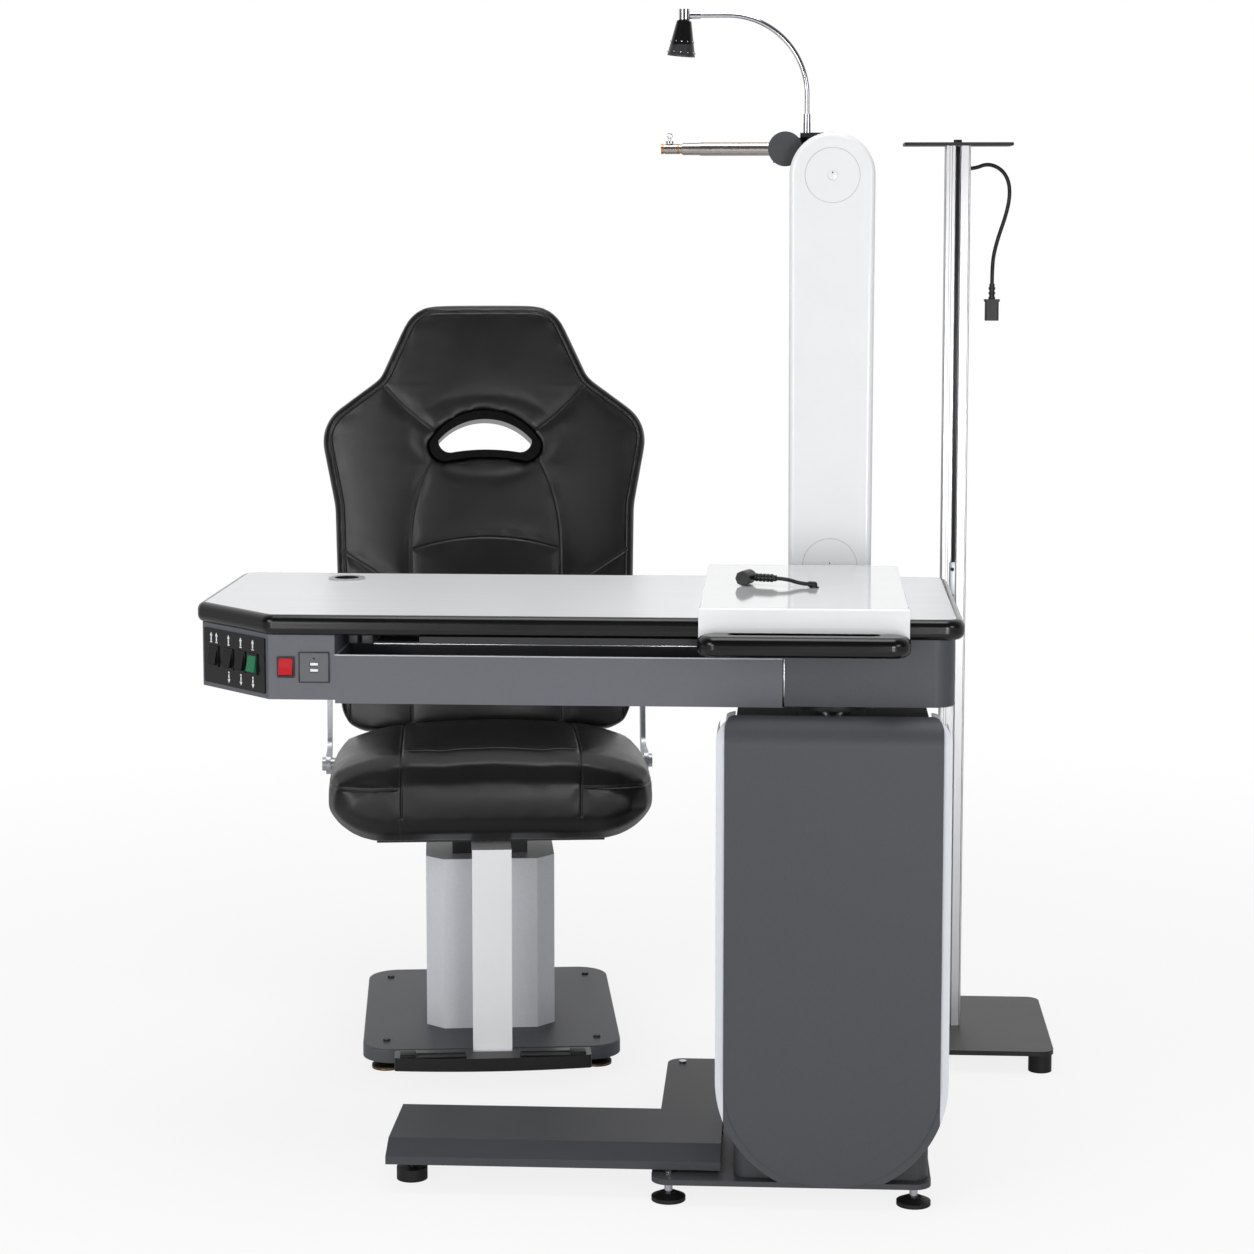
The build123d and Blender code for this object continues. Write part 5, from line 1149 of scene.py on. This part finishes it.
def run_distance(points: np.ndarray, line: np.ndarray) -> tuple[np.ndarray, np.ndarray]:
    """Distance from points to an open run of straight pieces.

    Args:
        points: places, one row each.
        line: corners of the run, one row each.

    Returns:
        The distance, and how far along the run the nearest place is.
    """
    best = np.full(len(points), FAR)
    along = np.zeros(len(points))
    travelled = 0.0
    for a, b in zip(line[:-1], line[1:]):
        step = b - a
        length = float(np.linalg.norm(step))
        share = np.clip((points - a) @ step / length ** 2, 0, 1)
        gap = np.linalg.norm(points - (a + share[:, None] * step), axis=1)
        closer = gap < best
        best = np.where(closer, gap, best)
        along = np.where(closer, travelled + share * length, along)
        travelled += length
    return best, along


def arc_points(start: Sequence[float], middle: Sequence[float], end: Sequence[float],
               count: int = 24) -> np.ndarray:
    """Points along a smooth bow that passes its middle."""
    a, m, b = (np.array(p, float) for p in (start, middle, end))
    handle = 2 * m - (a + b) / 2
    t = np.linspace(0, 1, count)[:, None]
    return (1 - t) ** 2 * a + 2 * t * (1 - t) * handle + t ** 2 * b


def rounded_run(corners: Sequence[Point], inset: float, steps: int = 10) -> np.ndarray:
    """Points along an open outline with rounded inner corners, drawn in by inset.

    Args:
        corners: x, height and corner radius of each corner, going clockwise.
        inset: how far the run lies inside the outline.
        steps: points on each rounded corner.

    Returns:
        The points, one row each.
    """
    flat = [np.array(c[:2], float) for c in corners]
    sides = []
    for a, b in zip(flat[:-1], flat[1:]):
        along = (b - a) / np.linalg.norm(b - a)
        sides.append((a + np.array((along[1], -along[0])) * inset, along))
    run = [sides[0][0]]
    for (a, u), (b, v), corner in zip(sides[:-1], sides[1:], corners[1:-1]):
        cross = u[0] * v[1] - u[1] * v[0]
        tip = a + u * ((b - a)[0] * v[1] - (b - a)[1] * v[0]) / cross
        turn = abs(math.atan2(cross, float(u @ v)))
        radius = max(corner[2] + (-inset if cross < 0 else inset), 4 * MM)
        cut = radius * math.tan(turn / 2)
        run.extend(arc_points(tip - u * cut, tip + (v - u) * cut * 0.25, tip + v * cut, steps))
    last, along = sides[-1]
    run.append(last + along * float((flat[-1] - flat[-2]) @ along))
    return np.array(run)


@dataclass
class Stitcher:
    """Lays short thread stitches on a cushion."""

    length: float = 3.6 * MM
    pitch: float = 5.4 * MM
    thickness: float = 0.55 * MM
    sink: float = 0.1 * MM

    def template(self) -> tuple[np.ndarray, list[tuple[int, ...]]]:
        """Makes one stitch once and returns its points and faces."""
        bpy.ops.object.select_all(action="DESELECT")
        bpy.ops.mesh.primitive_ico_sphere_add(subdivisions=1, radius=0.5)
        ball = bpy.context.active_object
        points = np.array([v.co for v in ball.data.vertices], float)
        faces = [tuple(p.vertices) for p in ball.data.polygons]
        bpy.data.objects.remove(ball)
        return points * np.array((self.length, 2 * self.thickness, 2 * self.thickness)), faces

    def sew(self, name: str, tree: BVHTree, runs: Sequence[list[Vector]]) -> None:
        """Sews stitches along runs of surface points.

        Args:
            name: the piece's name.
            tree: the cushion's surface.
            runs: lines of points on the surface.
        """
        shape, shape_faces = self.template()
        points, faces = [], []
        for run in runs:
            for place, along in self.spaced(run):
                spot, normal, _, _ = tree.find_nearest(place)
                side = normal.cross(along).normalized()
                frame = np.array((side.cross(normal).normalized(), side, normal))
                base = len(points) * len(shape)
                points.append(shape @ frame + np.array(spot - normal * self.sink))
                faces.extend(tuple(base + i for i in face) for face in shape_faces)
        data = bpy.data.meshes.new(name)
        data.from_pydata(np.concatenate(points).tolist(), [], faces)
        data.update()
        Bench.dress(Bench.link(name, data), THREAD, "chair", "leather")

    def spaced(self, run: list[Vector]) -> Iterator[tuple[Vector, Vector]]:
        """Yields evenly spaced places and directions along a run."""
        due, travelled = self.pitch / 2, 0.0
        for a, b in zip(run[:-1], run[1:]):
            step = b - a
            while step.length > 0 and due <= travelled + step.length:
                yield a + step * ((due - travelled) / step.length), step.normalized()
                due += self.pitch
            travelled += step.length


def trace(tree: BVHTree, rays: Sequence[tuple[Vector, Vector]]) -> list[Vector]:
    """Finds where rays, each a start and a direction, meet a surface."""
    hits = [tree.ray_cast(start, direction)[0] for start, direction in rays]
    return [hit for hit in hits if hit is not None]


GROOVE_WIDTH = 1.6 * MM
HOLLOW_WIDTH = 10 * MM
GATHER_DEPTH = 0.35 * MM
GATHER_SHIFT = 7 * MM
GATHER_WIDTH = 6 * MM
GATHER_LENGTHS = (0.0105, 0.043)
GATHER_SWAY = 1.7


def bell(gap: np.ndarray, width: float) -> np.ndarray:
    """Falls from one at a seam to nearly none at twice the width beside it."""
    return np.exp(-(gap / width) ** 2)


def ease(values: np.ndarray) -> np.ndarray:
    """Keeps weights between zero and one."""
    return np.clip(values, 0, 1)


def groove(gap: np.ndarray, along: np.ndarray, depth: float, soft: float,
           seed: float) -> np.ndarray:
    """Depth of a seam's pull: a narrow groove, a soft hollow and small gathers beside it.

    Args:
        gap: distance of each vertex from the seam.
        along: place of each vertex along the seam.
        depth: depth of the narrow groove.
        soft: depth of the wide hollow.
        seed: start of the gathers' pattern.

    Returns:
        How far each vertex is pulled in.
    """
    short, long = GATHER_LENGTHS
    ripple = np.sin(along / short + seed + GATHER_SWAY * np.sin(along / long + seed))
    gather = GATHER_DEPTH * ripple * bell(gap - GATHER_SHIFT, GATHER_WIDTH)
    return depth * bell(gap, GROOVE_WIDTH) + soft * bell(gap, HOLLOW_WIDTH) + gather


@dataclass
class Backrest:
    """Backrest cushion, its seams and stitches."""

    frame: ChairFrame
    border: float = 0.016
    corners: tuple[Point, ...] = (
        (0.262, 0.0, 0.056), (0.272, 0.409, 0.100), (0.301, 0.560, 0.074),
        (0.189, 0.641, 0.045), (0.128, 0.772, 0.067))
    arch_low: float = 0.328
    arch_high: float = 0.350
    side_half: float = 0.135
    side_foot: float = 0.02
    neck_seam: tuple[tuple[float, float], ...] = ((0.179, 0.622), (0.134, 0.577), (0.084, 0.538))
    side_seam: tuple[tuple[float, float], ...] = ((0.090, 0.500), (0.124, 0.420))
    flank_seam: tuple[tuple[float, float], ...] = ((0.257, 0.327), (0.197, 0.288))
    flank_foot: float = 0.247
    grip_height: float = 0.532
    grip_halves: tuple[float, float] = (0.118, 0.062)
    grip_fade: tuple[float, float] = (1.25, 0.2)
    back_fade: tuple[float, float] = (0.035, 0.03)
    front_least: float = 0.2
    front_gain: float = 2.0
    seed_step: float = 2.3
    clear: float = 0.2
    depth: float = 2.2 * MM
    border_soft: float = 0.9 * MM
    soft: float = 1.8 * MM
    hold: float = 9 * MM
    near: float = 6 * MM
    border_rows: tuple[float, float] = (-3.4 * MM, 3.4 * MM)
    row: float = 3.2 * MM

    def seams(self) -> list[np.ndarray]:
        """Seams in the backrest's plane, as x and height, with the border first."""
        left = [(-x, z, r) for x, z, r in self.corners]
        outline = left + [(x, z, r) for x, z, r in reversed(self.corners)]
        lines = [rounded_run(outline, self.border),
                 arc_points((-self.side_half, self.arch_low), (0, self.arch_high),
                            (self.side_half, self.arch_low))]
        knot = (self.side_half, self.arch_low)
        for side in (-1, 1):
            mirror = np.array((side, 1))
            lines += [arc_points(*(np.array(p) * mirror for p in bow)) for bow in (
                self.neck_seam, (*self.side_seam, knot))]
            lines.append(np.array((knot, (self.side_half, self.side_foot))) * mirror)
            flank = (*self.flank_seam, (self.side_half, self.flank_foot))
            lines.append(arc_points(*(np.array(p) * mirror for p in flank)))
        return lines

    def build(self, node: Piece) -> None:
        """Builds the cushion from its CAD form and sews it.

        Args:
            node: the CAD backrest.
        """
        pad = Padding("backrest_cushion", node, self.frame.back_place())
        places, _ = pad.coordinates()
        seams = self.seams()
        held = bell(self.nearest(places, seams), self.hold)
        start, span = self.back_fade
        held = np.maximum(held, ease((places[:, 1] - start) / span))
        across, high = self.grip_halves
        ring = np.hypot(places[:, 0] / across, (places[:, 2] - self.grip_height) / high)
        start, span = self.grip_fade
        held = np.maximum(held, ease((start - ring) / span))
        pad.inflate(held)
        pad.refine(lambda p, n: (self.nearest(p, seams) < self.near)
                   & (n[:, 1] < -self.front_least))
        self.pull(pad, seams)
        self.sew(pad.finish("backrest"), seams)

    def nearest(self, places: np.ndarray, seams: list[np.ndarray]) -> np.ndarray:
        """Distance of each vertex from the nearest seam."""
        return np.min([run_distance(places[:, (0, 2)], seam)[0] for seam in seams], axis=0)

    def pull(self, pad: Padding, seams: list[np.ndarray]) -> None:
        """Pulls the leather in along the seams on the front."""
        places, normals = pad.coordinates()
        total = np.zeros(len(places))
        for index, seam in enumerate(seams):
            gap, along = run_distance(places[:, (0, 2)], seam)
            soft = self.soft if index else self.border_soft
            seed = index * self.seed_step
            total = np.maximum(total, groove(gap, along, self.depth, soft, seed))
        front = ease(-normals[:, 1] * self.front_gain)
        pad.move(places - normals * (total * front)[:, None])

    def sew(self, tree: BVHTree, seams: list[np.ndarray]) -> None:
        """Sews the double rows beside the border seam and single rows by the others."""
        place = self.frame.back_place()
        back = (place.to_3x3() @ Vector((0, 1, 0))).normalized()
        runs = []
        for index, line in enumerate(seams):
            for offset in (self.row,) if index else self.border_rows:
                rays = [(place @ Vector((x, -self.clear, z)), back)
                        for x, z in self.beside(line, offset)]
                runs.append(trace(tree, rays))
        Stitcher().sew("backrest_stitches", tree, runs)

    def beside(self, line: np.ndarray, offset: float) -> Iterator[np.ndarray]:
        """Yields a line's points shifted sideways."""
        for index in range(len(line)):
            ahead = line[min(index + 1, len(line) - 1)] - line[max(index - 1, 0)]
            side = np.array((ahead[1], -ahead[0])) / max(np.linalg.norm(ahead), 1e-9)
            yield line[index] + side * offset


@dataclass
class SeatCushion:
    """Seat cushion with its three panels, seams and stitches."""

    frame: ChairFrame
    panel_half: float = 0.1475
    band_height: float = 0.491
    crease_y: float = -0.226
    hold: float = 9 * MM
    near: float = 6 * MM
    row: float = 3.2 * MM
    row_hub: tuple[float, float] = (-0.05, 0.470)
    band_hub: tuple[float, float] = (8 * MM, -0.12)
    crease_margin: float = 5 * MM
    crease_steps: int = 20
    row_angles: range = range(12, 222, 3)
    band_angles: range = range(0, 118, 3)
    reach: float = 0.6
    above: float = 0.7
    side_pull: tuple[float, float] = (2.4 * MM, 2.6 * MM)
    band_pull: tuple[float, float, float] = (2.0 * MM, 1.0 * MM, 0.6)
    crease_pull: tuple[float, float, float] = (1.5 * MM, 1.6 * MM, 1.9)
    steep: float = 4.0
    counted: float = 0.1

    def pulls(self, places: np.ndarray, normals: np.ndarray) -> tuple[np.ndarray, np.ndarray]:
        """Distance from the nearest seam, and the pull that the seams make.

        Args:
            places: vertex places in the seat's frame.
            normals: vertex normals in the seat's frame.

        Returns:
            The distance and the pull of each vertex.
        """
        x, y, z = places.T
        upper = ease((normals[:, 2] + 0.55) * self.steep)
        along = np.where(normals[:, 2] > 0.6, y, z)
        rules = [(np.abs(x - side * self.panel_half), along, upper, (*self.side_pull, side))
                 for side in (-1, 1)]
        outside = np.maximum(self.panel_half - np.abs(x), 0)
        wall = ease((0.8 - np.abs(normals[:, 2])) * self.steep)
        along = np.where(np.abs(normals[:, 0]) > 0.7, y, x)
        rules.append((np.hypot(z - self.band_height, outside), along, wall, self.band_pull))
        inside = np.maximum(np.abs(x) - self.panel_half, 0)
        top = ease((normals[:, 2] - 0.3) * self.steep)
        rules.append((np.hypot(y - self.crease_y, inside), x, top, self.crease_pull))
        gap, total = np.full(len(places), FAR), np.zeros(len(places))
        for near, along, weight, shape in rules:
            total = np.maximum(total, weight * groove(near, along, *shape))
            gap = np.minimum(gap, np.where(weight > self.counted, near, FAR))
        return gap, total

    def build(self, node: Piece) -> None:
        """Builds the cushion from its CAD form and sews it.

        Args:
            node: the CAD seat cushion.
        """
        pad = Padding("seat_cushion_leather", node, self.frame.seat_place())
        places, normals = pad.coordinates()
        held = bell(self.pulls(places, normals)[0], self.hold)
        pad.inflate(np.maximum(held, ease(-normals[:, 2] * 2 - 0.4)))
        pad.refine(lambda p, n: self.pulls(p, n)[0] < self.near)
        places, normals = pad.coordinates()
        pad.move(places - normals * self.pulls(places, normals)[1][:, None])
        self.sew(pad.finish("seat_cushion"))

    def sew(self, tree: BVHTree) -> None:
        """Sews rows beside the two long seams, the side band and the front crease."""
        runs = []
        for side in (-1, 1):
            hub = Vector((side * (self.panel_half + self.row), *self.row_hub))
            angles = [math.radians(a) for a in self.row_angles]
            runs.append(self.fan(tree, hub, [(0, math.cos(a), math.sin(a)) for a in angles]))
            angles = [math.radians(a) for a in self.band_angles]
            spread = [(side * math.sin(a), -math.cos(a), 0) for a in angles]
            for lift in (-self.row, self.row):
                out, y = self.band_hub
                hub = Vector((side * (self.panel_half + out), y, self.band_height + lift))
                runs.append(self.fan(tree, hub, spread))
        place, down = self.frame.seat_place(), Vector((0, 0, -1))
        steps = range(-self.crease_steps, self.crease_steps + 1)
        xs = [t / self.crease_steps * (self.panel_half - self.crease_margin) for t in steps]
        y = self.crease_y - self.row
        runs.append(trace(tree, [(place @ Vector((x, y, self.above)), down) for x in xs]))
        Stitcher().sew("seat_stitches", tree, runs)

    def fan(self, tree: BVHTree, hub: Vector, spread: Sequence[Point]) -> list[Vector]:
        """Finds where a fan of rays from inside the cushion leaves it."""
        place = self.frame.seat_place()
        turn = place.to_3x3()
        return trace(tree, [(place @ (hub + Vector(way) * self.reach), turn @ -Vector(way))
                            for way in spread])


@dataclass
class FootRestDetails:
    """Rubber blocks and tread frames on the folding foot rest."""

    frame: ChairFrame
    block_middle: float = 0.140
    block_half: float = 0.013
    block_depths: tuple[float, float] = (-0.330, -0.304)
    block_rise: float = 0.006
    tread_middle: float = 0.086
    tread_half: float = 0.042
    tread_depths: tuple[float, float] = (-0.331, -0.306)
    tread_rise: float = 2.2 * MM
    tread_wall: float = 2.4 * MM
    tread_sink: float = 1.4 * MM
    top: float = 0.052

    def pad(self, middle: float, half: float, depths: tuple[float, float],
            rise: float) -> Piece:
        """Adds one block that stands on the foot rest."""
        return Bench.block((middle - half, depths[0], self.top),
                           (middle + half, depths[1], self.top + rise))

    def build(self) -> None:
        """Builds the two blocks and the two tread frames between them."""
        blocks, treads = [], []
        for side in (-1, 1):
            blocks.append(self.pad(side * self.block_middle, self.block_half,
                                   self.block_depths, self.block_rise))
            tread = self.pad(side * self.tread_middle, self.tread_half, self.tread_depths,
                             self.tread_rise)
            Bench.sink(tread, Vector((0, 0, 1)), self.tread_wall, self.tread_sink)
            treads.append(tread)
        place = self.frame.seat_place()
        for name, parts, edge in (("rest_blocks", blocks, 2.0 * MM),
                                  ("rest_treads", treads, 0.5 * MM)):
            for part in parts:
                Bench.settle(part, place)
            Bench.complete(name, parts, edge, 3, RUBBER, "chair_footrest", "black_rubber")


@dataclass
class FootRims:
    """Thin copper-coloured rims round the levelling pads."""

    frame: ChairFrame
    radius: float = 25.15 * MM
    low: float = 2.0 * MM
    high: float = 3.3 * MM
    halves: tuple[float, float] = (0.177, 0.200)

    def build(self) -> None:
        """Builds one rim for each pad of the chair."""
        place = self.frame.seat_place()
        across, deep = self.halves
        spots = [place @ Vector((x, y, self.low)) for x in (-across, across)
                 for y in (-deep, deep)]
        rims = [Bench.rod(spot, (0, 0, self.high - self.low), self.radius, 64)
                for spot in spots]
        Bench.complete("pad_rims", rims, 0.2 * MM, 2, COPPER_RIM, "base", "steel")


def dress_nodes(nodes: dict[str, Piece]) -> None:
    """Gives every CAD node that stays its finish.

    Args:
        nodes: the CAD nodes by name.
    """
    for finish, names in NODES_BY_FINISH:
        material = finish.build()
        for name in names.split():
            for slot in nodes[name].material_slots:
                slot.material = material
            LOG.info("node %s is finished in %s", name, finish.name)


def pedestal_axis() -> Vector:
    """Foot of the lift shaft's axis, which every place is measured from."""
    low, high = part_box("lift_shaft")
    return Vector(((low.x + high.x) / 2, (low.y + high.y) / 2, 0.0))


def main() -> None:
    """Builds the whole scene round the frame."""
    logging.basicConfig(level=logging.INFO, format="%(name)s: %(message)s")
    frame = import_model()
    nodes = frame["nodes"]
    axis = pedestal_axis()
    Studio(axis).build()
    Leads(axis).build(nodes)
    dress_nodes(nodes)
    chair = ChairFrame(axis)
    for part in (ControlPanel(axis), UnderTable(axis), HousingSeam(), ArmDetails(axis),
                 LampDetails(), StandDetails(), FootRestDetails(chair), FootRims(chair)):
        part.build()
    SeatCushion(chair).build(nodes["seat_cushion"])
    Backrest(chair).build(nodes["backrest"])


if __name__ == "__main__":
    main()
